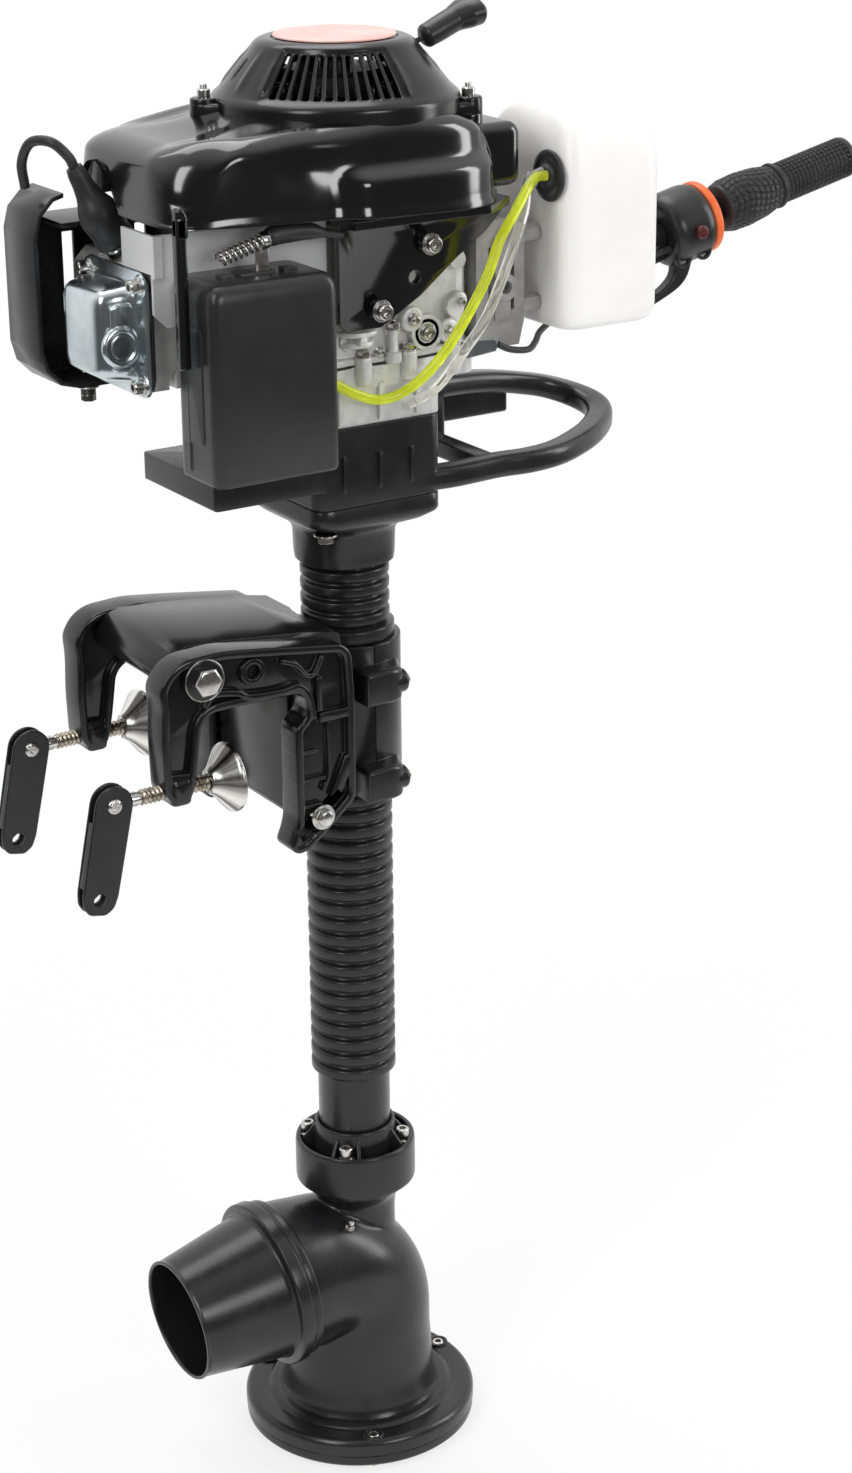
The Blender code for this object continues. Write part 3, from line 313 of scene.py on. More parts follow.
class Value:
    """A shader socket that takes part in Python sums."""

    def __init__(self, make, socket):
        self.make, self.socket = make, socket

    def math(self, operation, *others):
        return self.make.node("ShaderNodeMath", {"operation": operation}, dict(enumerate((self,) + others)))

    def __add__(self, o): return self.math("ADD", o)
    def __mul__(self, o): return self.math("MULTIPLY", o)
    def __sub__(self, o): return self.math("SUBTRACT", o)
    def __rsub__(self, o): return self.make.node("ShaderNodeMath", {"operation": "SUBTRACT"}, {0: o, 1: self})
    def __pow__(self, o): return self.math("POWER", o)
    def __gt__(self, o): return self.math("GREATER_THAN", o)
    __radd__, __rmul__ = __add__, __mul__

    def held(self, low, high, toLow=0.0, toHigh=1.0):
        return self.make.node("ShaderNodeMapRange", {"interpolation_type": "SMOOTHSTEP"},
                              {"Value": self, "From Min": low, "From Max": high, "To Min": toLow, "To Max": toHigh})


class Finish:
    """A node material round one Principled shader."""

    def __init__(self, name, **steady):
        self.mat = bpy.data.materials.new(name)
        self.mat.use_nodes = True
        self.tree = self.mat.node_tree
        self.shader = self.tree.nodes["Principled BSDF"]
        for key, value in steady.items():
            self.shader.inputs[key.replace("_", " ")].default_value = value
        self.place = self.node("ShaderNodeTexCoord", out="Object")

    def node(self, kind, settings=None, feeds=None, out=0):
        n = self.tree.nodes.new(kind)
        for key, value in (settings or {}).items():
            setattr(n, key, value)
        for key, value in (feeds or {}).items():
            if isinstance(value, Value):
                self.tree.links.new(value.socket, n.inputs[key])
            else:
                n.inputs[key].default_value = value
        return Value(self, n.outputs[out])

    def noise(self, scale, detail=3.0, stretch=(1, 1, 1)):
        where = self.place
        if stretch != (1, 1, 1):
            where = self.node("ShaderNodeMapping", feeds={"Vector": where, "Scale": stretch})
        return self.node("ShaderNodeTexNoise", feeds={"Vector": where, "Scale": scale, "Detail": detail})

    def mix(self, mask, a, b):
        return self.node("ShaderNodeMix", {"data_type": "RGBA"}, {0: mask, 6: a, 7: b}, out=2)

    def feed(self, name, value):
        self.tree.links.new(value.socket, self.shader.inputs[name])

    def bump(self, height, distance, strength=1.0, edge=None):
        feeds = {"Height": height, "Distance": distance, "Strength": strength}
        if edge:
            feeds["Normal"] = self.node("ShaderNodeBevel", {"samples": 4}, {"Radius": edge})
        self.feed("Normal", self.node("ShaderNodeBump", feeds=feeds))


finishes = {}
looks = {   # colour, its second tone, roughness, its spread, metal, grain per metre, grain height in mm, blotches per metre, specular level
    "gloss_black_casting": dict(tone=(0.0050, 0.0050, 0.0055), second=(0.010, 0.010, 0.011), rough=0.17, spread=0.12, grain=420, high=0.03, blotch=24, level=0.5),
    "gloss_black_sheet": dict(tone=(0.0026, 0.0026, 0.0030), second=(0.0042, 0.0042, 0.0048), rough=0.13, spread=0.05, grain=160, high=0.02, blotch=18, level=0.85),
    "gloss_black_cover": dict(tone=(0.0050, 0.0050, 0.0052), second=(0.0085, 0.0085, 0.009), rough=0.22, spread=0.08, grain=700, high=0.015, blotch=20, level=0.45),
    "satin_black_metal": dict(tone=(0.010, 0.010, 0.011), second=(0.017, 0.017, 0.018), rough=0.26, spread=0.12, grain=1600, high=0.015, blotch=30, level=0.45),
    "satin_black_plastic": dict(tone=(0.014, 0.014, 0.015), second=(0.022, 0.022, 0.023), rough=0.32, spread=0.10, grain=2200, high=0.02, blotch=26, level=0.45),
    "black_bellows": dict(tone=(0.009, 0.009, 0.010), second=(0.015, 0.015, 0.016), rough=0.28, spread=0.10, grain=1400, high=0.012, blotch=40, level=0.45),
    "black_rubber": dict(tone=(0.014, 0.014, 0.015), second=(0.024, 0.024, 0.025), rough=0.46, spread=0.14, grain=1100, high=0.04, blotch=60, level=0.4),
    "stainless": dict(tone=(0.50, 0.49, 0.47), second=(0.72, 0.70, 0.66), rough=0.20, spread=0.16, metal=1.0, grain=900, high=0.015, blotch=120),
    "zinc_plate": dict(tone=(0.50, 0.57, 0.61), second=(0.70, 0.75, 0.76), rough=0.22, spread=0.10, metal=1.0, grain=300, high=0.008, blotch=34),
    "bare_aluminium": dict(tone=(0.58, 0.58, 0.575), second=(0.70, 0.70, 0.69), rough=0.38, spread=0.18, metal=0.35, grain=1100, high=0.16, blotch=110),
    "grey_casting": dict(tone=(0.27, 0.265, 0.26), second=(0.36, 0.355, 0.345), rough=0.46, spread=0.16, metal=0.3, grain=1000, high=0.16, blotch=90),
    "grey_sheet": dict(tone=(0.52, 0.52, 0.52), second=(0.64, 0.64, 0.645), rough=0.30, spread=0.12, metal=0.25, grain=700, high=0.03, blotch=20),
    "white_tank": dict(tone=(0.84, 0.82, 0.81), second=(0.89, 0.88, 0.87), rough=0.36, spread=0.10, grain=240, high=0.05, blotch=8),
    "orange_trim": dict(tone=(0.80, 0.13, 0.025), second=(0.88, 0.18, 0.04), rough=0.38, spread=0.10, grain=900, high=0.04, blotch=60),
    "salmon_disc": dict(tone=(0.80, 0.47, 0.42), second=(0.86, 0.60, 0.55), rough=0.32, spread=0.12, grain=600, high=0.02, blotch=40),
    "dark_foam": dict(tone=(0.016, 0.016, 0.016), second=(0.04, 0.04, 0.04), rough=0.92, spread=0.08, grain=700, high=0.4, blotch=200),
    "worn_thread": dict(tone=(0.20, 0.17, 0.13), second=(0.52, 0.47, 0.39), rough=0.30, spread=0.16, metal=1.0, grain=900, high=0.03, blotch=160),
    "red_button": dict(tone=(0.07, 0.005, 0.004), second=(0.11, 0.008, 0.006), rough=0.36, spread=0.1, grain=800, high=0.03, blotch=60),
}
for slotName, look in looks.items():
    f = Finish(slotName, Specular_IOR_Level=look.get("level", 0.5), Metallic=look.get("metal", 0.0))
    blotch = f.noise(look["blotch"], 4.0).held(0.3, 0.7)
    grain = f.noise(look["grain"], 3.0)
    f.feed("Base Color", f.mix(blotch, (*look["tone"], 1), (*look["second"], 1)))
    f.feed("Roughness", look["rough"] + look["spread"] * (f.noise(look["blotch"] * 2.7, 5.0) - 0.5) + 0.05 * (grain - 0.5))
    f.bump(grain + 0.6 * f.noise(look["grain"] * 0.17, 2.0), look["high"] * 0.001, 0.8, edge=0.0009 if slotName not in ("dark_foam",) else None)
    finishes[slotName] = f.mat
finishes["white_tank"].node_tree.nodes["Principled BSDF"].inputs["Subsurface Weight"].default_value = 0.35
finishes["white_tank"].node_tree.nodes["Principled BSDF"].inputs["Subsurface Radius"].default_value = (0.02, 0.016, 0.013)

for slotName, tone, clear, rough in (("fuel_line", (0.76, 0.85, 0.04), 0.6, 0.08), ("clear_line", (0.93, 0.90, 0.84), 0.85, 0.06)):
    f = Finish(slotName, Transmission_Weight=clear, IOR=1.38)
    f.feed("Base Color", f.mix(f.noise(90, 3.0).held(0.35, 0.7), (*tone, 1), (*(min(1, c * 1.15 + 0.02) for c in tone), 1)))
    f.feed("Roughness", rough + 0.08 * f.noise(240, 2.0))
    f.bump(f.noise(500, 2.0), 0.00003, 0.6)
    finishes[slotName] = f.mat


def turnedFinishWithPaintedSheen(name, centre):
    # turned steel: its roughness is noise of the angle about a line along X through the centre, for the turning marks,
    # and its colour's dark and bright sectors by the same angle are painted reflection, standing in for the light that
    # turned metal catches
    f = Finish(name, Metallic=1.0)
    spot = f.node("ShaderNodeVectorMath", {"operation": "SUBTRACT"}, {0: f.place, 1: tuple((np.array(centre, float) + legShift) * 0.001)})
    parts = f.node("ShaderNodeSeparateXYZ", feeds={0: spot}).socket.node
    turn = Value(f, parts.outputs[1]).math("ARCTAN2", Value(f, parts.outputs[2]))
    turnStreakAndPaintedSheen = f.node("ShaderNodeTexNoise", {"noise_dimensions": "1D"}, {"W": turn, "Scale": 1.7, "Detail": 2.0}).held(0.36, 0.64)
    # painted reflection: the base colour swings from near black to bright by angle in place of the lamps' sheen on
    # turned metal
    f.feed("Base Color", f.mix(turnStreakAndPaintedSheen, (0.13, 0.125, 0.12, 1), (0.86, 0.84, 0.80, 1)))
    f.feed("Roughness", 0.20 + 0.14 * turnStreakAndPaintedSheen + 0.1 * (f.noise(300, 3.0) - 0.5))
    f.bump(f.noise(900, 2.0), 0.00002, 0.6, edge=0.0006)
    finishes[name] = f.mat


turnedFinishWithPaintedSheen("spun_near", (0, -60, 18))
turnedFinishWithPaintedSheen("spun_far", (0, 60, 18))
print("finishes:", len(finishes))


# camera

cameraLook = {"focal": 2913.8, "pitch": 20.868, "roll": -0.503, "turn": -32.57, "away": 1991.3, "aside": -78.44, "tall": 1473}


def makeCamera(c):
    th, az, roll = (math.radians(c[k]) for k in ("pitch", "turn", "roll"))
    back = Vector((math.sin(az) * math.cos(th), -math.cos(az) * math.cos(th), math.sin(th)))
    right = Vector((math.cos(az), math.sin(az), 0))
    up = back.cross(right)
    up = up if up.z > 0 else -up
    r2, u2 = right * math.cos(roll) + up * math.sin(roll), up * math.cos(roll) - right * math.sin(roll)
    data = bpy.data.cameras.new("camera")
    ob = bpy.data.objects.new("camera", data)
    scene.collection.objects.link(ob)
    m = Matrix(((r2.x, u2.x, back.x, 0), (r2.y, u2.y, back.y, 0), (r2.z, u2.z, back.z, 0), (0, 0, 0, 1)))
    m.translation = (back * c["away"] - r2 * (c["aside"] * c["away"] / c["focal"]) + Vector(legShift)) * 0.001
    ob.matrix_world = m
    data.sensor_width, data.lens = 36, 36 * c["focal"] / c["tall"]
    data.clip_start, data.clip_end = 0.01, 60
    scene.camera = ob


makeCamera(cameraLook)
print("camera placed")


# hoses, lead, cable and rope

def cord(name, route, radius, finish, node, step, reach=0):
    """A free cord as an open curve through its route."""
    line = even(curve(route, 24), max(15, int(step)))
    data = bpy.data.curves.new(name, "CURVE")
    data.dimensions, data.bevel_depth, data.bevel_resolution, data.use_fill_caps = "3D", radius * 0.001, 5, True
    spline = data.splines.new("POLY")
    spline.points.add(len(line) - 1)
    at = (line + legShift) * 0.001
    spline.points.foreach_set("co", np.concatenate([at, np.ones((len(at), 1))], 1).astype(np.float32).ravel())
    data.materials.append(finishes[finish])
    ob = bpy.data.objects.new(name, data)
    scene.collection.objects.link(ob)
    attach(ob, "upper")
    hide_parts(node)
    return ob


tankSide = 121.6
fuelRoute = [(tankSide, -58.4, 378), (113.6, -58.4, 378), (101, -66, 372), (88, -72, 360), (74, -76, 345), (64, -77, 324), (50, -77, 302), (37, -74, 282),
             (24, -70, 266), (9, -65, 254), (-8, -62, 250), (-26, -62, 256), (-42, -62, 265), (-52, -62, 268), (-59.3, -62, 268)]
ventRoute = [(tankSide, -49.6, 376), (113.6, -49.6, 376), (104, -60, 360), (91, -67, 339), (78, -70, 315), (66, -70, 293), (51, -66, 272), (39, -60, 254),
             (29, -57.8, 247), (19, -51.8, 241)]
cableRoute = [(86.4, -55, 272), (97, -54, 267), (116, -47, 263), (135, -28, 262), (160, 0, 262), (200, 24, 268), (248, 36, 283), (283.3, 38, 292.1), (297, 38, 295.2)]
plugBase, plugWay = np.array([-146.0, 14, 347]), unit([-0.50, 0.06, 0.86])
bootUp = unit([-0.42, 0.10, 0.90])
elbow = plugBase + plugWay * 34
leadStart = elbow + bootUp * 28.4
leadRoute = [leadStart + np.array(p, float) for p in (bootUp * 0, bootUp * 8, (-12, 6, 16), (-18, 22, 14), (-18, 36, 0), (-14, 42, -16))]
cord("fuel_line_run", fuelRoute, 3.4, "fuel_line", "fuel_hose", 60)
cord("vent_line_run", ventRoute, 3.4, "clear_line", "vent_hose", 50)
cord("throttle_cable_run", cableRoute, 2.2, "black_rubber", "throttle_cable", 60)
cord("plug_lead_run", leadRoute, 3.2, "black_rubber", "plug_lead", 36)


# fasteners

def hexHead(centre, axis, across=13.0, tall=6.0, washer=1.6):
    """A hexagon head with its corners turned off, on a washer."""
    u, v, w = basis(axis)
    hexagon = circle(across / math.sqrt(3), 6)
    frameAt = (np.asarray(centre, float), u, v, w)
    base = washer
    rows = [put(inset(hexagon, i), base + h, frameAt) for i, h in ((0.5, 0), (0, 0.4), (0, tall - 1.2), (1.0, tall - 0.2), (1.6, tall))]
    out = [shell(rows)]
    if washer:
        out.append(lathe([(0, 0), (across * 0.78, 0), (across * 0.82, 0.3), (across * 0.82, washer - 0.3), (across * 0.78, washer), (0, washer)], centre, axis, 32))
    return out


def capScrew(centre, axis, radius=4.2, tall=5.0, washer=0.0):
    """A socket head screw: a turned head whose recess is a hexagon."""
    socket = radius * 0.52
    profile = [(0, washer), (radius, washer), (radius, washer + tall - 0.7), (radius - 0.7, washer + tall), (socket, washer + tall),
               (socket, washer + tall * 0.35), (0.01, washer + tall * 0.3)]
    hexWave = lambda r, h, a: np.where(np.abs(r - socket) < 1e-6, socket * (0.93 / np.cos((a + np.pi / 6) % (np.pi / 3) - np.pi / 6) - 1), 0)
    out = [lathe(profile, centre, axis, 36, wave=hexWave)]
    if washer:
        out.append(lathe([(0, 0), (radius * 1.35, 0), (radius * 1.35, washer), (0, washer)], centre, axis, 32))
    return out


def thread(a, b, radius, pitch, depth, count=24):
    # radius falls by the depth times a triangle wave of height over pitch less angle over a full turn
    a, b = np.asarray(a, float), np.asarray(b, float)
    long = np.linalg.norm(b - a)
    h = np.linspace(0, long, int(long / pitch * 8))
    tooth = lambda r, hh, ang: -depth * np.abs(((hh / pitch - ang / (2 * np.pi)) % 1) * 2 - 1)
    ends = [(radius - depth * 2, 0)] + [(radius, k) for k in h] + [(radius - depth * 2, long)]
    return lathe(ends, a, b - a, count, wave=tooth)


# leg

ribLook = {"crest": 30.0, "valley": 26.5, "pitch": 11.3, "count": 72, "flat": 0.52, "groove": 0.86}


def bellows(low, high, look):
    # radius = valley + (crest - valley) times a crowned land that falls in an S curve to a flat groove between two lands
    turns = max(1, round((high - low) / look["pitch"]))
    h = np.linspace(low, high, turns * 20 + 1)
    off = np.abs(((h - low) / (high - low) * turns) % 1 - 0.5) * 2
    off[[0, -1]] = 1
    fall = np.clip((off - look["flat"]) / (look["groove"] - look["flat"]), 0, 1)
    wave = (1 - fall ** 2 * (3 - 2 * fall)) * (1 - 0.16 * off ** 2)
    r = look["valley"] + (look["crest"] - look["valley"]) * wave
    return lathe([(25.9, low)] + list(zip(r, h)) + [(25.9, high)], count=look["count"], loop=True)


piece("bellows_lower", [bellows(-251, -31.5, ribLook)], "black_bellows", "upper", stands=("ribs_lower",), sharp=60)
piece("bellows_upper", [bellows(86.4, 127.6, ribLook)], "black_bellows", "upper", stands=("ribs_upper",), sharp=60)
tubeProfile = filleted([(21.5, -333.7), (25.5, -333.7), (25.5, 76.4), (33, 76.4), (33, 85), (25.5, 86), (25.5, 165), (21.5, 165)], 0.8, 3)
piece("leg_pipe", [lathe(tubeProfile, loop=True)], "satin_black_metal", "upper", stands=("leg_tube",))
adapterRings = [(28.5, 28.5, 28.4, 128), (31.4, 31.4, 31.3, 129.5), (32, 32, 31.9, 134), (32.5, 32.5, 32.4, 150), (33.6, 34, 32, 154), (37, 38, 30, 158),
                (43.5, 45.5, 20, 161.5), (47.4, 49.4, 14, 165.5), (48, 50, 13, 167.5), (48, 50, 13, 177), (47.4, 49.4, 12.5, 178)]
piece("leg_adapter", [shell([put(roundedBox(-hx, hx, -hy, hy, r, 8), z, "XY") for hx, hy, r, z in adapterRings])], "satin_black_metal", "upper", stands=("adapter",), sharp=40)
piece("adapter_bolts", sum([hexHead((s * 37, s * 39, 160.5), (0, 0, -1), 9.5, 5.4, 1.4) for s in (-1, 1)], []), "stainless", "upper")
print("leg made")


# pump

pump = {"top": -305.0, "seam": -337.0, "ring": (-71.0, 0, -404.0), "way": unit([-78.1, 0, -6.8]), "ringR": 60.6, "mouthR": 43.3, "long": 78.4,
        "bend": (-40.0, -444.0), "bendR": 40.0, "footR": 84.5, "footTop": -511.0, "footSeam": -523.5, "footLow": -533.0}


def pumpPieces(p):
    t, b = p["top"], p["seam"]
    cup = filleted([(13, b), (42.6, b), (43, b + 2), (43, t - 4), (42.4, t), (39, t), (38.6, t - 15), (30, t - 15.4), (28.5, t + 13), (25.8, t + 13), (25.8, b + 3), (13, b + 3)], 1.4, 4)
    shells = [lathe(cup, loop=True)]
    screws = []
    for k in range(4):
        a = math.radians(-132 + 90 * k)
        spot = np.array([34.6 * math.cos(a), 34.6 * math.sin(a), t - 15])
        shells.append(lathe([(0, -1), (6.0, -1), (5.6, 11), (5.0, 12), (0, 12)], spot, (0, 0, 1), 24))
        screws += capScrew(spot + np.array([0, 0, 12]), (0, 0, 1), 4.8, 8.0, 1.2)
        for turn in (-15, 15):
            g = a + math.radians(turn)
            gusset = filleted([(26, t - 17), (40, t - 17), (40, t - 5), (29.5, t + 9), (26, t + 9)], 2.0, 3)
            u, w = np.array([math.cos(g), math.sin(g), 0]), np.array([-math.sin(g), math.cos(g), 0])
            shells.append(slab(gusset, -1.3, 1.3, (np.zeros(3), u, np.array([0, 0, 1.0]), w), 0.6))
    piece("pump_cup", shells, "satin_black_metal", "upper", stands=("pump_collar",))

    top = b - 0.3
    neck = filleted([(0, top), (40, top), (38, top - 4), (29.5, top - 11), (28, top - 22), (28, -402), (0, -402)], [0, 1.5, 4, 6, 8, 0, 0], 6)
    # the elbow: a round pipe along a line that leaves the ring, bends over an arc and drops to the foot
    bendAt, bendR = p["bend"], p["bendR"]
    q = np.radians(np.linspace(90, 0, 24))
    line = np.concatenate([[np.array(p["ring"]) + p["way"] * 0.3, (-60, 0, -403.6), (-50, 0, -403.8)],
                           np.stack([bendAt[0] + bendR * np.cos(q), 0 * q, bendAt[1] + bendR * np.sin(q)], 1), [(0, 0, -462), (0, 0, -482), (0, 0, -498), (0, 0, -506), (0, 0, -510), (0, 0, -512.5)]])
    wide = np.interp(np.arange(len(line)), [0, 3, 14, 27, 28, 29, 30, 31, 32], [56, 53, 52, 52.5, 54, 54.6, 56, 58.5, 62])
    body = piece("pump_hull", [lathe(neck), sweep(line, circle(1.0, 72), hint=(0, 1, 0), scale=wide)], "satin_black_metal", "upper", stands=("pump_body",), sharp=60)
    melt(body, 0.0019, 18)
    foot = filleted([(0, p["footTop"] - 1.5), (68, p["footTop"] - 1.0), (71, p["footTop"] - 0.4), (p["footR"] - 3, p["footTop"] - 0.2), (p["footR"], p["footTop"] - 3.6),
                     (p["footR"], p["footSeam"]), (0, p["footSeam"])], [0, 3, 3, 2, 3, 0.8, 0], 5)
    ringStep = filleted([(0, -509.8), (64, -509.8), (67, -511.2), (68.6, -514), (0, -514)], [0, 3, 2, 0, 0], 5)
    flange = [lathe(foot, count=96), lathe(ringStep, count=96)]
    under = filleted([(44, p["footLow"]), (p["footR"] - 3, p["footLow"]), (p["footR"] - 0.5, p["footLow"] + 2.5), (p["footR"] - 0.5, p["footSeam"] - 0.4), (44, p["footSeam"] - 0.4)], 1.0, 3)
    grate = [lathe(under, loop=True, count=96)]
    for y in (-27, -9, 9, 27):
        half = math.sqrt(46 ** 2 - y ** 2)
        grate.append(slab(roundedBox(-half, half, y - 2, y + 2, 0.6, 2), p["footLow"] + 1, p["footLow"] + 6, "XY", 0.8))
    bolts, nuts = [], []
    for k in range(3):
        a = math.radians(-114 + 120 * k)
        spot = np.array([75 * math.cos(a), 75 * math.sin(a), p["footTop"] - 0.6])
        flange.append(lathe(filleted([(7.2, 0), (7.2, 1.6), (5.2, 2.0), (4.9, -0.4)], 0.5, 3), spot, (0, 0, 1), 32, loop=True))
        bolts += capScrew(spot + np.array([0, 0, -2.6]), (0, 0, 1), 4.6, 4.0)
        nuts += hexHead((spot[0], spot[1], p["footLow"] + 0.2), (0, 0, -1), 8, 3.4, 0)
    piece("pump_flange", flange, "satin_black_metal", "upper")
    piece("intake_grate", grate, "satin_black_metal", "upper", stands=("intake_plate",))
    piece("foot_bolts", bolts + nuts + screws, "stainless", "upper")
    nip = np.array([-24, -30, -362.0])
    way = unit([-0.10, -0.50, 0.85])
    piece("grease_nipple", [lathe(filleted([(0, -3), (3.4, -3), (3.4, 2), (2.2, 3), (1.5, 5.5), (2.3, 7), (1.6, 9), (0, 9)], 0.4, 3), nip, way, 24)], "stainless", "upper")
    n, r = p["long"], p["mouthR"]
    cone = filleted([(49, 0), (p["ringR"] - 1, 0), (p["ringR"], 1), (p["ringR"], 9), (p["ringR"] - 1, 10), (54.5, 10.6), (53.4, 13), (r + 0.2, n - 3), (r + 0.9, n - 1),
                     (r + 0.6, n), (r - 1.6, n), (r - 2.2, n - 2), (50, 12)], [0, 0.6, 0.6, 0.6, 0.8, 1.4, 1.4, 0.8, 0.6, 0.4, 0.6, 1, 0], 4)
    groove = filleted([(55.5, -2.2), (p["ringR"] - 2.4, -2.2), (p["ringR"] - 2.4, 0.3), (55.5, 0.3)], 0.3, 2)
    back = filleted([(48, -9), (p["ringR"] - 3.4, -8.4), (p["ringR"] - 2.2, -7.0), (p["ringR"] - 2.2, -2.4), (p["ringR"] - 3, -1.6), (48, -1.6)], 0.8, 3)
    ring = [lathe(cone, p["ring"], p["way"], 96, loop=True), lathe(groove, p["ring"], p["way"], 96, loop=True)]
    piece("jet_nozzle", ring, "satin_black_metal", "upper", stands=("nozzle",))
    piece("pump_ring", [lathe(back, p["ring"], p["way"], 96, loop=True)], "satin_black_metal", "upper")


def melt(ob, voxel, rounds):
    """Joins an object's shells into one skin and eases the joints between them."""
    m = ob.modifiers.new("one", "REMESH")
    m.mode, m.voxel_size, m.adaptivity = "VOXEL", voxel, 0.0
    m = ob.modifiers.new("ease", "SMOOTH")
    m.factor, m.iterations = 0.5, rounds
    graph = bpy.context.evaluated_depsgraph_get()
    mesh = bpy.data.meshes.new_from_object(ob.evaluated_get(graph))
    ob.modifiers.clear()
    ob.data = mesh
    mesh.shade_smooth()


pumpPieces(pump)
print("pump made")


# clamp

clampLook = {"inner": 48.0, "outer": 70.0, "web": (53.0, 65.0), "rimWide": 5.5, "tiltAt": (-146, 91), "slotReach": 140.0, "slotTurn": (-61.5, -44.7), "slotHalf": 4.7}


def arcPoints(cx, cz, r, start, end, steps):
    a = np.radians(np.linspace(start, end, steps + 1))
    return [(cx + r * math.cos(k), cz + r * math.sin(k)) for k in a]


def ribbon(points, width):
    # the smooth line through the points, moved to both sides by half the width along its normals
    path = curve(points, 6)
    t = unit(np.gradient(path, axis=0))
    side = np.stack([-t[:, 1], t[:, 0]], 1) * width / 2
    return np.concatenate([path + side, (path - side)[::-1]])


def bracketShells(look):
    outline = ([(-157, 12), (-171, 12), (-176, 19), (-177, 50), (-176, 72)] + arcPoints(-153, 81, 25, 165, 95, 5)
               + [(-132, 107), (-100, 103), (-58, 97)] + arcPoints(-50, 83, 13, 70, 0, 4) + [(-35.5, 60), (-35.5, -6)] + arcPoints(-47, -8, 11.5, -10, -45, 3)
               + [(-60, -34), (-72, -43), (-81, -44), (-86, -39), (-80, -24), (-80, 44)] + [(-71.5, 50), (-71, 60), (-76, 68), (-88, 68), (-131, 68)]
               + arcPoints(-136, 54.5, 13.5, 90, 165, 4) + [(-152.5, 34)])
    smooth = filleted(outline, 7, 4)
    a, b = look["web"]
    shells = [slab(inset(smooth, 1.5), -b, -a, "XZ", 1.0), rim(smooth, look["rimWide"], -look["outer"], -look["inner"], "XZ", 1.9)]
    full = lambda pts, r=3.0, lift=0.6, edge=1.6: slab(filleted(pts, r, 4), -look["outer"] + lift, -look["inner"] - lift, "XZ", edge)
    # solid parts: the screw's lug, the ends of the jaw and the ribs between the recesses
    shells += [full([(-173, 12.6), (-157, 12.6), (-155, 30), (-173, 32)]),
               full([(-84, -42), (-73, -42), (-64, -33), (-80, -26), (-80.6, -30)], 2),
               full([(-79.6, 24), (-64, 24), (-64, 27), (-79.6, 27)], 1), full([(-79.6, 4), (-58, 4), (-58, 7), (-79.6, 7)], 1),
               full([(-79.6, -14), (-61, -14), (-61, -11), (-79.6, -11)], 1),
               full([(-62, 44), (-40, 44), (-40, 51), (-62, 51)], 2), full([(-64, 52), (-59, 52), (-59, 76), (-64, 76)], 1.5),
               full([(-64, -30), (-58, -32), (-38, 8), (-38, 18), (-43, 18)], 2),
               full([(-172, 9.5), (-157.5, 9.5), (-157, 27), (-172, 27)], 4, -0.5, 3.0),
               full(ribbon([(-146, 72), (-139, 79), (-122, 77), (-114, 73), (-92, 71), (-77, 72.5), (-69, 63), (-66.5, 48)], 4.2), 0.5, -0.4, 1.3),
               full(ribbon([(-90, 92), (-78, 87), (-71, 79), (-65, 79), (-59, 90)], 3.2), 0.5, 0.2, 1.0),
               full(ribbon([(-55, 44), (-55, 10), (-60, -4)], 2.6), 0.5, 1.6, 0.9)]
    for x, z, r, tall in ((-146, 91, 14, 1.2), (-110, 89, 9.5, -1.0)):
        hole = 5 if x == -110 else 0
        for side in (-1, 1):
            at = -look["outer"] if side < 0 else -look["inner"]
            profile = filleted([(hole, -4), (r, -4), (r - 0.8, tall), (hole, tall)] if hole else [(0, -4), (r, -4), (r - 0.8, tall), (0, tall)], 0.7, 3, closed=bool(hole))
            shells.append(lathe(profile, (x, at, z), (0, side, 0), 40, loop=bool(hole)))
    return shells, smooth


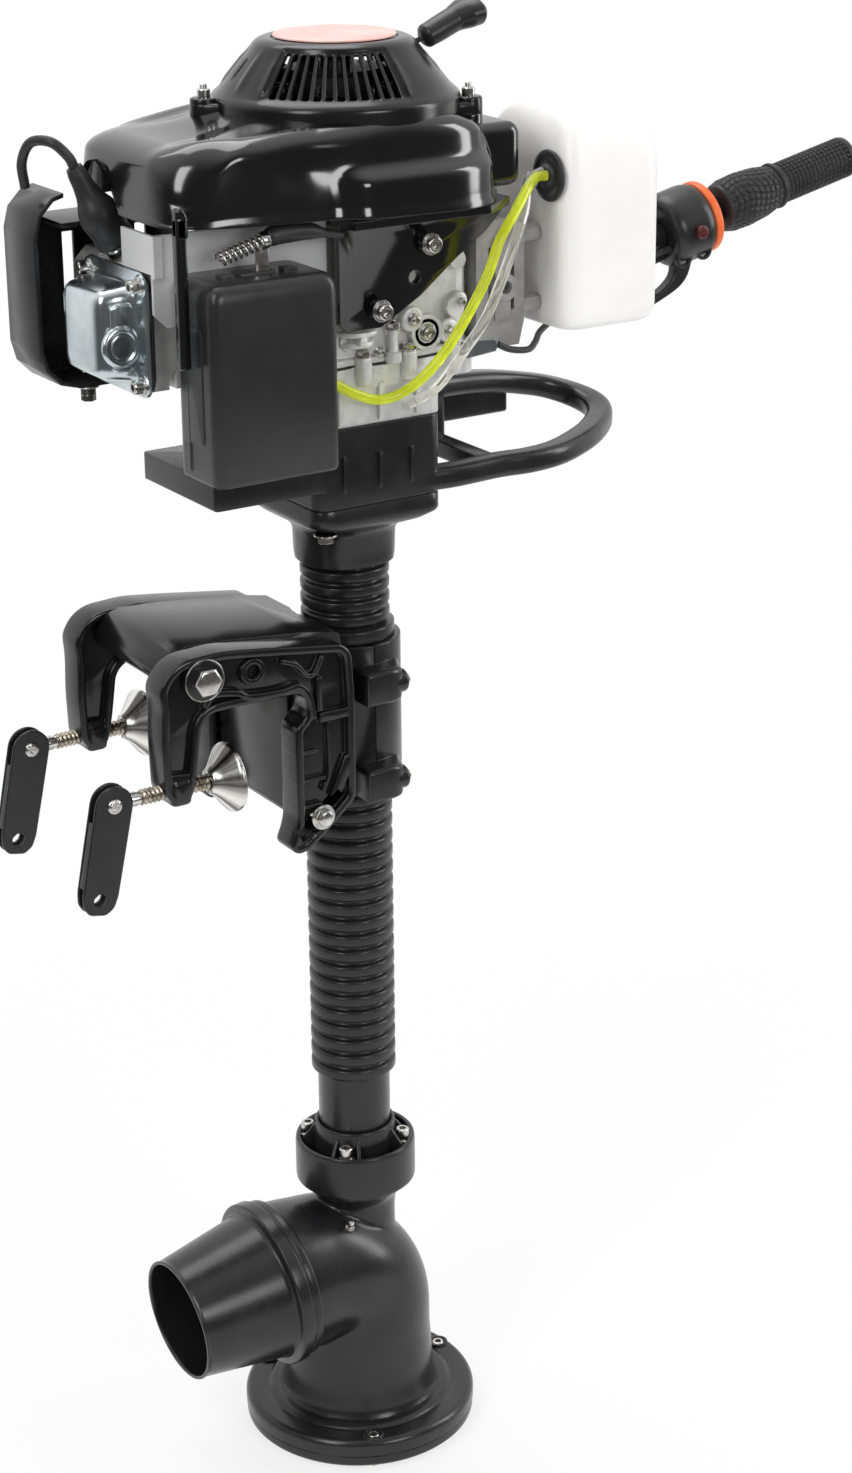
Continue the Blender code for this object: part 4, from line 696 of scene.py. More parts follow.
def clampPieces(look):
    shells, smooth = bracketShells(look)
    # the trim bolt rides in an arc slot about the tilt bolt
    x, z = look["tiltAt"]
    low, high = look["slotTurn"]
    slot = arcPoints(x, z, look["slotReach"] + look["slotHalf"], low, high, 10) + arcPoints(x, z, look["slotReach"] - look["slotHalf"], high, low, 10)
    cutter = slab(np.array(slot), -look["outer"] - 4, -look["inner"] + 4, "XZ", 0.01)
    piece("clamp_cheek_near", shells, "gloss_black_casting", "clamp", stands=("bracket_near",), sharp=38, cutter=cutter)
    piece("clamp_cheek_far", mirrored(shells), "gloss_black_casting", "clamp", stands=("bracket_far",), sharp=38, cutter=mirrored([cutter])[0])
    bolts = hexHead((-146, -70.8, 91), (0, -1, 0), 17, 7, 0.01) + hexHead((-146, 70.8, 91), (0, 1, 0), 17, 7, 1.4)
    bolts += [lathe([(0, -71), (6, -71), (6, 71), (0, 71)], (-146, 0, 91), (0, 1, 0), 32)]
    piece("tilt_bolt_set", bolts, "stainless", "clamp", stands=("tilt_bolt",))
    trim = hexHead((-62, -70.4, -21), (0, -1, 0), 10.5, 4.4, 1.2) + hexHead((-62, 70.4, -21), (0, 1, 0), 10.5, 4.4, 1.2)
    trim += [lathe([(0, -71), (4, -71), (4, 71), (0, 71)], (-62, 0, -21), (0, 1, 0), 24)]
    piece("trim_bolt_set", trim, "stainless", "swivel", stands=("trim_bolt",))
    for side, word in ((-1, "near"), (1, "far")):
        y = side * 60.0
        screw = [thread((-190, y, 18), (-133, y, 18), 5.4, 3.0, 1.3)]
        tip = [lathe(filleted([(0, -198), (4.2, -198), (4.2, -190), (0, -190)], [0, 1, 0, 0], 3, False), (0, y, 18), (1, 0, 0), 32)]
        tang = filleted([(-218.5, 18), (-214, 25), (-206, 25.5), (-199, 22.4), (-191, 22.4), (-191, 13.6), (-199, 13.6), (-206, 10.5), (-214, 11)], 2.5, 3)
        tip.append(slab(tang, y - 2.3, y + 2.3, "XZ", 0.5))
        piece("screw_" + word, screw, "worn_thread", "screw_" + word, stands=("clamp_screw_" + word,), sharp=60)
        piece("screw_tip_" + word, tip, "stainless", "screw_" + word)
        f = -124.0
        cup = filleted([(0, f - 8.2), (5.4, f - 8.2), (5.4, f - 16.8), (8.4, f - 16.8), (9.6, f - 14.6), (12, f - 12), (22, f - 3.8), (23, f - 2.6), (23, f - 0.6), (22.4, f), (17, f), (14, f - 3.6), (0, f - 4)],
                       [0, 0.6, 0.5, 1, 2, 3, 1, 0.6, 0.4, 0.3, 1, 1, 0], 4)
        piece("pad_" + word, [lathe(cup, (0, y, 18), (1, 0, 0), 96)], "spun_" + word, "pad_" + word, stands=("clamp_pad_" + word,), sharp=30)
        paddlePiece(y, word)


def paddlePiece(y, word):
    # a flat bar with a round head and an eye near its foot, two cheeks over the screw's tang
    pin = np.array([-210.0, y, 18.0])
    head = arcPoints(0, 0, 13.2, 0, 180, 14)
    outline = np.array(head + [(-13, -30), (-12.6, -60)] + [(-11, -68), (-6, -73), (6, -73), (11, -68)] + [(12.6, -60), (13, -30)])
    outline = filleted(outline, 2.4, 3)
    eye = circle(4.6, len(outline))
    shells = []
    centre = np.array([0, -63.0])
    order = np.argsort(np.arctan2(*(outline - centre).T[::-1]))
    a = np.arctan2(outline[:, 1] + 63, outline[:, 0])
    hole = np.stack([4.6 * np.cos(a), 4.6 * np.sin(a) - 63], 1)
    for low, high in ((-4.8, -2.75), (2.75, 4.8)):
        # each cheek is the band between the outline and the eye, closed as a ring
        rows = [put(inset(outline, i), h, (pin, (1, 0, 0), (0, 0, 1), (0, 1, 0))) for i, h in ((0.6, low), (0, low + 0.5), (0, high - 0.5), (0.6, high))]
        rows += [put(hole, h, (pin, (1, 0, 0), (0, 0, 1), (0, 1, 0))) for h in (high, low)]
        shells.append(shell(rows, loop=True, caps=False))
    core = np.array([(-12.6, -12), (12.6, -12), (12.4, -56), (-12.4, -56)])
    shells.append(slab(core, -2.8, 2.8, (pin, (1, 0, 0), (0, 0, 1), (0, 1, 0)), 0.3))
    tilt = math.radians(12)
    rivets = [lathe(filleted([(0, -6.4), (4.6, -6.4), (5.2, -4.8), (5.2, 4.8), (4.6, 6.4), (0, 6.4)], [0, 1.2, 0.5, 0.5, 1.2, 0], 3), pin, (0, 1, 0), 32),
              lathe([(1.8, -6.9), (3.4, -6.9), (3.4, 6.9), (1.8, 6.9)], pin, (0, 1, 0), 24, loop=True)]
    piece("paddle_bar_" + word, rotated(shells, tilt, (0, 1, 0), pin), "satin_black_metal", "paddle_" + word, stands=("paddle_" + word,))
    piece("paddle_rivet_" + word, rivets, "stainless", "paddle_" + word)


clampPieces(clampLook)
softened("saddle", "gloss_black_cover", "swivel", 1.6)
sleeveLook = {"inner": 31.2, "outer": 37.0, "low": -30.0, "high": 76.0, "lugs": ((40, 62), (-29, -7))}


def sleevePieces(look):
    # half a pipe, its section run round the outer arc, then rounded lugs with their screws
    turn = np.radians(np.concatenate([np.linspace(-89.4, 89.4, 41)]))
    arcs = [look["outer"] * np.stack([np.cos(turn), np.sin(turn)], 1), look["inner"] * np.stack([np.cos(turn[::-1]), np.sin(turn[::-1])], 1)]
    shells = [slab(np.concatenate(arcs), look["low"], look["high"], "XY", 0.8),
              slab(filleted([(32, -3.4), (39.2, -2.4), (39.2, 2.4), (32, 3.4)], 1.2, 3), look["low"] + 2, look["high"] - 2, "XY", 1.2)]
    screws = []
    for low, high in look["lugs"]:
        mid = (low + high) / 2
        for side in (-1, 1):
            arm = filleted([(-16, side * 29), (-16, side * 52.6), (6, side * 53), (13.5, side * 50), (17, side * 42), (23, side * 29), (8, side * 27)], [1, 5, 6, 6, 6, 5, 2], 5)
            arm = arm if side > 0 else arm[::-1]
            shells.append(slab(arm, low - 0.8, high + 0.8, "XY", 3.4, 6))
            shells.append(lathe(filleted([(0, 8), (8.2, 8), (8.2, 17.5), (6.6, 19), (0, 19)], [0, 0.5, 1.6, 1.4, 0], 4), (0, side * 43.5, mid), (1, 0, 0), 32))
            screws += capScrew((18.4, side * 43.5, mid), (1, 0, 0), 4.0, 3.4)
    piece("sleeve_half", shells, "satin_black_metal", "swivel", stands=("sleeve_cap",), sharp=50)
    piece("sleeve_screws", screws, "stainless", "swivel")


sleevePieces(sleeveLook)
print("clamp made")


# deck and handle

deckLook = {"low": 178.4, "top": 231.0, "shelf": (191.0, 209.0)}


def deckPiece(look):
    shells = [slab(roundedBox(-48, 47, -50, 50, 11, 8), look["low"], look["top"], "XY", 0.8),
              slab(roundedBox(-122, 20, -49, 49, 3.5, 4), *look["shelf"], "XY", 0.9)]
    for x in (-29, -2, 22):
        shells.append(slab(roundedBox(x - 1.4, x + 1.4, -52, -45, 0.6, 2), 189, 213, "XY", 0.8))
    loop = curve([(20, -40, 186), (40, -41, 186), (60, -42.5, 186), (95, -40, 186), (120, -42, 186), (145, -38, 186.3), (172, -25, 187), (196, -9, 188), (218, 12, 190), (227, 32, 193),
                  (223, 52, 197), (206, 64, 203), (180, 66, 209), (150, 61, 215), (110, 50, 220), (60, 38, 222), (30, 34, 222)], 10)
    section = filleted([(-9, -7.6), (9, -7.6), (9, 7.6), (-9, 7.6)], 5.5, 5)
    shells.append(sweep(even(loop, 130), section))
    shells += [slab(roundedBox(83, 98, -38, 55, 3, 3), 181, 192.5, "XY", 1.6), slab(filleted([(80, 36), (108, 40), (108, 60), (80, 58)], 4, 3), 183, 222, "XY", 2),
               slab(roundedBox(60, 173, 60, 76, 3, 3), 190, 210, "XY", 2.0)]
    piece("deck_casting", shells, "satin_black_metal", "upper", stands=("deck",), sharp=38)


deckPiece(deckLook)
print("deck made")


# shroud and recoil cover

shroudLook = {"low": 370.0, "wall": 388.0, "shoulder": 427.6, "top": 430.3, "rim": 72.0, "count": 300, "run": 30.0, "thick": 2.6, "rise": 19.0, "sideRise": 25.0, "climb": 6.0, "lean": 2.5, "fall": (3.0, 6.0)}


def shroudRing(a):
    # x = 98 nose^0.62 - 160 tail^k and y = sine^k (84 - 14 tail - 16 nose^2), nose and tail being the cosine's two signs; k is smallest, and the corner tightest, at the near left
    c, s = np.cos(a), np.sin(a)
    tail, nose = np.maximum(0, -c), np.maximum(0, c)
    k = np.where(s < 0, 0.22, 0.38)
    x = 98 * nose ** 0.62 - 160 * tail ** k
    y = np.sign(s) * np.abs(s) ** np.where(c > 0, 0.62, k) * (84 - np.where(s < 0, 8, 14) * tail - 16 * nose ** 2)
    return np.stack([x, y], -1)


def swollen(grid):
    # the near wall sinks into a channel, a bell of x and z, before the second box stands out under three ramps
    x, y, z = grid[..., 0], grid[..., 1], grid[..., 2]
    bell = lambda v, middle, wide: np.exp(-((v - middle) / wide) ** 2)
    ramp = lambda v: np.clip(v, 0, 1) ** 2 * (3 - 2 * np.clip(v, 0, 1))
    near = np.clip((-y - 50) / 14, 0, 1)
    grid[..., 1] = y - near * (7.5 * ramp((x + 52) / 22) * ramp((84 - x) / 20) * ramp((404 - z) / 11) - 5.0 * bell(x, -72, 24) * bell(z, 404, 16))
    return grid


def shroudPiece(look):
    # each outline point runs towards the rim's circle: up the wall, round a quarter-ellipse shoulder, then over the nearly level top
    a = np.linspace(0, 2 * np.pi, 1440, endpoint=False)
    outline = even(np.concatenate([shroudRing(a), shroudRing(a[:1])]), look["count"] + 1)[:-1]
    inward = unit(outline) * look["rim"] - outline
    far = np.linalg.norm(inward, axis=1)
    inward = unit(inward)
    run = np.minimum(look["run"], 0.86 * far)
    # the far end and the two long sides stand nearly straight up, and the lower edge climbs towards the far end
    ease = lambda v: np.clip(v, 0, 1) ** 2 * (3 - 2 * np.clip(v, 0, 1))
    side = ease((np.abs(outline[:, 1]) - 58) / 18) * ease((outline[:, 0] + np.where(outline[:, 1] < 0, 152, 165)) / np.where(outline[:, 1] < 0, 36, 30))
    wallTop = look["wall"] + np.maximum(look["rise"] * ease((-outline[:, 0] - 100) / 40) * ease((outline[:, 1] + 72) / 30), look["sideRise"] * side)
    low = look["low"] + look["climb"] * np.clip((40 - outline[:, 0]) / 198, 0, 1)
    # the roof falls from the rim towards both ends, and least along the near side
    fall = look["fall"][0] + look["fall"][1] * ease((outline[:, 1] + 78) / 50)
    shoulder = look["shoulder"] - np.maximum(fall * ease((-outline[:, 0] - 60) / 85), 8.0 * ease((outline[:, 0] - 40) / 50))
    wallTop = np.minimum(wallTop, shoulder - 8)

    def skin(thick, phi):
        lean = look["lean"]
        wall = np.array([np.concatenate([outline + inward * (thick + lean * t * t), (low + (wallTop - low) * t)[:, None]], 1) for t in np.linspace(0, 1, 16)])
        bend = np.array([np.concatenate([outline + inward * (thick + lean + (run - thick - lean) * (1 - math.cos(p)))[:, None],
                                         (wallTop + (shoulder - thick - wallTop) * math.sin(p))[:, None]], 1) for p in phi])
        roof = np.array([np.concatenate([outline + inward * (run + (far - run) * t)[:, None], (shoulder + (look["top"] - shoulder) * t ** 1.7 - thick)[:, None]], 1) for t in (0.25, 0.5, 0.75, 1.0)])
        return swollen(np.concatenate([wall, bend, roof]))

    steps = np.linspace(0, np.pi / 2, 17)[1:]
    outer, inner = skin(0.0, steps), skin(look["thick"], steps)
    outer[:2, :, :2] -= (inward * 1.2)[None]   # a lip runs round the lower edge
    grid = np.concatenate([outer, inner[::-1]])
    # way out for the plug: the far end rises to a parabola over the boot
    arch = look["low"] + 35 * np.clip(1 - ((grid[..., 1] - 22) / 36) ** 2, 0, 1)
    grid[..., 2] = np.where(grid[..., 0] < -118, np.maximum(grid[..., 2], arch), grid[..., 2])
    return shell(grid, loop=True, caps=False)


postRib = slab(roundedBox(-159, -152, -81, -74, 1.6, 3), 293, 384, "XY", 1.0)
rightBox = slab(roundedBox(60, 103, -60, 60, 10, 6), 374, 415, "XY", 8, 6)
pillar = lathe(filleted([(0, 374), (9, 374), (9, 421.4), (0, 421.4)], [0, 0, 1.5, 0], 3), (72, -43.3, 0), (0, 0, 1), 32)
latch = slab(filleted([(-159, 372), (-151, 372), (-151, 384), (-154, 390), (-159, 390)], 2, 3), -81, -75, "XZ", 1.2)
piece("fan_shroud", [shroudPiece(shroudLook), rightBox, pillar, latch, postRib], "gloss_black_sheet", "upper", stands=("shroud",), sharp=40)

coverLook = {"base": 430.3, "top": 470.0, "columns": 360, "slots": ((-121, 12), (37, 6), (103, 6)), "pitch": 6, "bar": 2, "sunk": 1.5}
earSpots = ((84.6, 163, 5.4), (84, -31, 1.4), (82, 62, 1.4))   # radius, angle and height over the base


def coverPieces(look):
    b, t, pitch = look["base"], look["top"], look["pitch"]
    profile = filleted([(76, b - 7), (79, b - 7), (79, b + 4), (77, b + 6), (73.4, b + 9), (64.6, b + 20), (54.6, t - 8.0), (50.6, t - 2.4), (45.5, t), (40, t), (39.4, t - 3)],
                       [0, 1, 2, 3, 5, 8, 6, 3, 3, 0.5, 0], 5, closed=False)
    profile = even(profile, 64)
    cols = look["columns"]
    a = np.linspace(0, 2 * np.pi, cols, endpoint=False)
    r, h = profile.T
    degrees = np.degrees(a)
    lowBand, highBand = b + 9.8, t - 5.4
    # radius = profile less the sunk depth where a grille's sector and band meet, with a narrow step round it
    sunk = np.zeros((len(r), cols))
    hide = np.zeros((len(r) - 1, cols), bool)
    midH = (h[:-1] + h[1:]) / 2
    for centre, count in look["slots"]:
        half = count * pitch / 2
        off = np.abs((degrees - centre + 180) % 360 - 180)
        sector = np.clip((half + 3 - off) / 2, 0, 1)
        band = np.clip(np.minimum(h - lowBand + 3, highBand + 3 - h) / 2, 0, 1)
        sunk = np.maximum(sunk, look["sunk"] * sector[None] * band[:, None])
        for k in range(count):
            local = (degrees + 0.6 - (centre - half + look["bar"] / 2 + k * pitch)) % 360
            hide |= ((midH > lowBand) & (midH < highBand))[:, None] & (local < pitch - look["bar"])[None]
    ridge = sum(1.4 * np.exp(-(((degrees - at + 180) % 360 - 180) / 3.0) ** 2) for at in (-160, -82, 0, 78, 150, 182))
    radius = r[:, None] - sunk + ridge[None] * (np.clip((h - b - 9) / 6, 0, 1) * np.clip((t - 4 - h) / 8, 0, 1))[:, None]
    grid = np.stack([radius * np.cos(a), radius * np.sin(a), np.broadcast_to(h[:, None], radius.shape)], -1)
    piece("recoil_shell", [shell(grid, caps=False, hide=hide)], "gloss_black_cover", "upper", stands=("recoil_cover",), wall=2.6, sharp=35)
    parts = [lathe(filleted([(14, t - 3.6), (40, t - 3.6), (40, t - 1.4), (14, t - 1.4)], 0.4, 2), count=64, loop=True),
             lathe([(6.1, 437), (10, 437), (10, t - 3), (6.1, t - 3)], count=40, loop=True)]
    for k in range(36):
        deg = 10 * k
        parts += rotated([slab(roundedBox(44, 66, -0.7, 0.7, 0.3, 2), b + 6, b + 15, "XY", 0.4)], math.radians(deg))
    screws = []
    for rr, deg, up in earSpots:
        q = math.radians(deg)
        x, y = rr * math.cos(q), rr * math.sin(q)
        # each ear is an arm that runs down the cone and out to a round lug, which stands on the roof below the cover's edge
        lug = filleted([(rr - 30, -22), (rr, -10), (rr + 8.8, -5), (rr + 8.8, 5), (rr, 10), (rr - 30, 22)], 4, 4)
        arm = filleted([(rr - 34, b - 9), (rr - 6, b - 9), (rr - 7, b + 2), (rr - 11, b + 6), (rr - 19, b + 20), (rr - 28, b + 30), (rr - 34, b + 30)], 4, 4)
        parts += rotated([slab(lug, b - 10, b + up - 3, "XY", 1.8), slab(arm, -8.5, 8.5, "XZ", 3.4, 5)], q)
        parts.append(lathe(filleted([(0, b - 14), (8.8, b - 14), (8.8, b + up - 1), (7.6, b + up), (0, b + up)], [0, 0, 1, 1, 0], 3), (x, y, 0), (0, 0, 1), 32))
        screws += capScrew((x, y, b + up), (0, 0, 1), 4.3, 5.4)
        screws += [thread((x, y, b + up + 3), (x, y, b + up + 8), 2.4, 0.9, 0.25, 20)]
    piece("recoil_parts", parts, "gloss_black_cover", "upper")
    piece("recoil_screws", screws, "stainless", "upper")
    disc = filleted([(0, t + 0.3), (39, t + 0.3), (39, t + 1.2), (38.2, t + 1.8), (0, t + 2.0)], [0, 0.2, 0.4, 0.6, 0], 3)
    piece("recoil_badge", [lathe(disc, count=96)], "salmon_disc", "upper", stands=("recoil_disc",))


coverPieces(coverLook)
print("shroud and recoil cover made")


# valve cover, boot and plug

def valvePieces():
    x, z0 = -158.5, 306.0
    rings = [(42, 39, 12, x), (42.3, 39.3, 12, x - 0.5), (42.3, 39.3, 12, x - 1.9), (41.6, 38.6, 11.4, x - 2.6), (33, 32.6, 10, x - 3.2), (30.4, 30.6, 9.5, x - 4.6), (29, 29.8, 9.4, x - 7.5),
             (27.6, 28.8, 9, x - 15), (26.2, 27.6, 8.6, x - 21.5), (25, 26.4, 8, x - 24.4), (22.4, 24, 7, x - 26.6), (18, 20, 6, x - 27.4)]
    shells = [shell([put(roundedBox(-hy, hy, z0 - hz, z0 + hz, r, 8), xx, "YZ") for hy, hz, r, xx in rings])]
    boss = filleted([(0, 0), (13, 0), (13, 3.0), (10.5, 4.2), (8.2, 3.0), (6.8, 3.4), (0, 3.4)], [0, 1, 1, 1, 0.8, 0.6, 0], 3)
    shells.append(lathe(boss, (x - 15, -28, z0 - 6), (0.05, -1, 0.03), 48))
    shells.append(slab(filleted([(x - 21, z0 - 22), (x - 6, z0 - 22), (x - 6, z0 + 20), (x - 21, z0 + 20)], 4, 4), -30.6, -27, "XZ", 1.4))
    screws = []
    for sy in (-1, 1):
        for sz in (-1, 1):
            y, z = sy * 35, z0 + sz * 31
            shells.append(lathe(filleted([(0, 0), (7, 0), (6.4, 1.6), (0, 1.8)], [0, 0.6, 0.8, 0], 3), (x - 2.2, y, z), (-1, 0, 0), 32))
            screws += capScrew((x - 3.6, y, z), (-1, 0, 0), 4.4, 6.4, 0.8)
    piece("rocker_cover", shells, "zinc_plate", "upper", stands=("valve_cover",), sharp=45)
    piece("rocker_screws", screws, "stainless", "upper")


valvePieces()


def bootPieces():
    tip = plugBase + plugWay * 12
    line = curve([tip - plugWay * 2, tip + plugWay * 8, tip + plugWay * 17, elbow + bootUp * 2, elbow + bootUp * 14, elbow + bootUp * 29], 10)
    line = even(line, 60)
    t = np.linspace(0, 1, 60)
    r = np.interp(t, [0, 0.04, 0.10, 0.22, 0.36, 0.48, 0.62, 0.78, 0.93, 1.0], [12.4, 13.6, 12.0, 12.8, 13.6, 12.0, 8.2, 6.6, 6.2, 4.8])
    r = np.convolve(np.pad(r, 3, "edge"), np.ones(7) / 7, "valid")
    shells = [sweep(line, circle(1.0, 36), hint=(0, 1, 0), scale=r)]
    piece("plug_hood", shells, "black_rubber", "upper", stands=("plug_boot",), sharp=60)
    collar = filleted([(0, -2), (7.4, -2), (7.4, 1), (9.6, 1.6), (9.6, 8.4), (7.4, 9), (6.2, 10), (5.6, 20), (0, 20)], [0, 0.4, 0.4, 0.8, 0.8, 0.4, 0.5, 1, 0], 3)
    piece("plug_body", [lathe(collar, plugBase, plugWay, 36)], "stainless", "upper", stands=("spark_plug",))


bootPieces()
print("valve side made")


# air box, muffler guard, bracket plate

def airBoxPieces():
    x0, x1, y0, y1, z0, z1 = -148, -60, -101, -52, 221, 345
    ring = lambda i, z, r: put(roundedBox(x0 + i, x1 - i, y0 + i, y1, r, 8), z, "XY")
    rows = [ring(i, z, r) for i, z, r in ((3, z0, 6), (1, z0 + 1, 7), (0, z0 + 3, 8), (0, z1 - 11, 8), (0.4, z1 - 7, 8), (1.6, z1 - 3.6, 8), (3.8, z1 - 1.2, 7), (7, z1, 6))]
    box = shell(rows)
    g = box["grid"]
    # a shallow panel stands 0.6 mm proud of the left side
    inside = (g[..., 0] < x0 + 1) & (g[..., 1] > y0 + 12) & (g[..., 1] < y1 - 5)
    shells = [box]
    panel = slab(roundedBox(y0 + 14, y1 - 7, z0 + 24, z1 - 28, 4, 4), x0 - 0.6, x0 + 3, "YZ", 1.2)
    shells.append(panel)
    for x, wide in ((-128, 9), (-84, 10)):
        shells.append(slab(roundedBox(x - wide / 2, x + wide / 2, y0 + 16, y0 + 24, 1.2, 3), z1 - 2, z1 + 3.2, "XY", 0.8))
    shells.append(slab(roundedBox(-116, -92, y0 + 20, y0 + 36, 4, 4), z1 - 3, z1 + 2, "XY", 1.6))
    seamLine = filleted([(x0 + 0.2, y1 - 17), (x0 - 0.7, y1 - 16.4), (x0 - 0.7, y1 - 14.6), (x0 + 0.2, y1 - 14)], 0.3, 2)
    shells.append(slab(seamLine, z0 + 6, z1 - 12, "XY", 0.4))
    piece("air_box_case", shells, "satin_black_plastic", "upper", stands=("air_box",), sharp=40)


airBoxPieces()
softened("muffler_guard", "satin_black_metal", "upper", 1.4)
softened("bracket_plate", "gloss_black_sheet", "upper", 0.7)
plateScrews = sum([capScrew((x, -69.6, z), (0, -1, 0), 5.2, 5.2, 1.2) for x, z in ((-11, 309), (26, 347))], [])
piece("plate_screws", plateScrews, "stainless", "upper")
piece("guard_bolt", hexHead((-158, 50, 258), (0, 0, -1), 9, 6, 1.2), "stainless", "upper")
print("near side made")


# fittings on the crankcase and the choke's spring


def coil(a, b, radius, wire, turns):
    # the centre line runs from a to b while its offset turns round it: radius (cos p u + sin p v)
    a, b = np.asarray(a, float), np.asarray(b, float)
    u, v, w = basis(b - a)
    p = np.linspace(0, 2 * np.pi * turns, turns * 18)
    line = a + (b - a) * (p / p[-1])[:, None] + radius * (np.cos(p)[:, None] * u + np.sin(p)[:, None] * v)
    return sweep(line, circle(wire, 8), hint=w)


def fittingPieces():
    bright, dark, silver = [], [], []
    # governor housing: a turned stack of three flanges
    stack = filleted([(0, 284), (13, 284), (13, 287.4), (10, 287.8), (10, 291), (15.4, 291.4), (15.4, 294.4), (10.8, 294.8), (10.8, 298), (16, 298.4), (16, 301.4), (12, 301.8), (12, 306), (0, 306)], 0.7, 3)
    bright.append(lathe(stack, (-18, -46.5, 0), (0, 0, 1), 64))
    bright.append(slab(filleted([(-36, 276), (-34, 300), (-22, 318), (4, 318), (10, 298), (8, 276)], 5, 4), -49.6, -44, "XZ", 1.6))
    for x, z, r, tall in ((-20, 289, 3.4, 19), (23, 296, 8.4, 9), (34, 286, 11.4, 8), (51, 285, 8.0, 8.5), (60, 303, 6.4, 7), (-2, 278, 4.2, 7), (12, 276, 3.6, 6)):
        bright.append(lathe(filleted([(0, 0), (r, 0), (r, tall - 1.4), (r - 1.4, tall), (0, tall)], [0, 0.4, 1, 1, 0], 3), (x, -44, z), (0, -1, 0), 36))
    for x, z, r, base in ((23, 296, 3.2, 53), (34, 286, 4.4, 52), (51, 285, 3.4, 52.5), (60, 303, 2.8, 51), (-2, 278, 2.6, 51)):
        silver += capScrew((x, -base, z), (0, -1, 0), r, 3.6, 0.8)
    # a post with its nut, and webs between the bosses
    bright += [lathe(filleted([(0, 271), (5.4, 271), (5.4, 277), (3.0, 278), (3.0, 292), (0, 292)], 0.5, 2), (7, -54, 0), (0, 0, 1), 28)]
    silver += hexHead((7, -54, 292), (0, 0, 1), 7, 4.6, 1.0) + [lathe([(0, 292), (1.7, 292), (1.7, 301), (0, 301)], (7, -54, 0), (0, 0, 1), 20)]
    for a, b in (((-30, 281), (-20, 289)), ((23, 296), (34, 286)), ((34, 286), (51, 285)), ((51, 285), (60, 303)), ((-20, 289), (-2, 278))):
        bright.append(slab(ribbon([a, ((a[0] + b[0]) / 2, (a[1] + b[1]) / 2 + 0.5), b], 3.0), -49.8, -44, "XZ", 1.0))
    # the flange's bolts stand along the seam, over a dark gasket that waves with the flange
    edge = roundedBox(-61.6, 73.6, -50.6, 49.6, 10, 8)
    wavy = even(np.concatenate([edge, edge[:1]]), 241)[:-1]
    wavy = inset(wavy, 0) + unit(wavy - np.array([6.0, 0])) * (0.8 * np.cos(np.linspace(0, 2 * np.pi * 14, 240, endpoint=False)))[:, None]
    dark.append(slab(wavy, 269.7, 271.2, "XY", 0.3))
    bright += [slab(wavy, 271.3, 275.4, "XY", 0.8), slab(wavy, 264.0, 269.6, "XY", 0.8)]
    for x in (-48, -14, 20, 54):
        bright.append(lathe(filleted([(0, 258), (4.8, 258), (5.6, 262), (5.6, 275.6), (4.8, 276.6), (0, 276.6)], [0, 1, 1, 0.6, 0.6, 0], 3), (x, -51.5, 0), (0, 0, 1), 28))
        silver += hexHead((x, -51.5, 276.6), (0, 0, 1), 7.4, 4.0, 0.9)
    piece("case_fittings", bright, "bare_aluminium", "upper")
    piece("case_gasket", dark, "black_rubber", "upper")
    piece("case_screws", silver, "stainless", "upper")
    # the choke cable ends in a spring and a moulded boot above the air box
    a, b = np.array([-129.0, -76, 356]), np.array([-99.0, -76, 364])
    way = unit(b - a)
    spring = [coil(a, b, 4.2, 0.75, 8), lathe([(0, 0), (1.3, 0), (1.3, 34), (0, 34)], a, way, 16)]
    spring.append(lathe(filleted([(0, 0), (5.4, 0), (5.4, 5), (0, 5)], [0, 0.8, 0.8, 0], 2), b - way, way, 28))
    spring.append(slab(filleted([(-104, 343), (-95, 343), (-95, 362), (-104, 360)], 2, 3), -77, -75.6, "XZ", 0.3))
    piece("choke_spring", spring, "stainless", "upper")
    line = curve([b + way * 3, b + way * 10, (-78, -76, 367), (-64, -75, 366), (-52, -73, 363), (-40, -70, 360)], 8)
    thick = np.interp(np.linspace(0, 1, len(line)), [0, 0.1, 0.35, 0.6, 0.75, 1], [4.4, 6.0, 6.2, 5.2, 3.0, 2.6])
    piece("choke_boot", [sweep(line, circle(1.0, 24), scale=thick)], "black_rubber", "upper", sharp=60)


fittingPieces()
print("fittings made")


# tank, cap and grommet

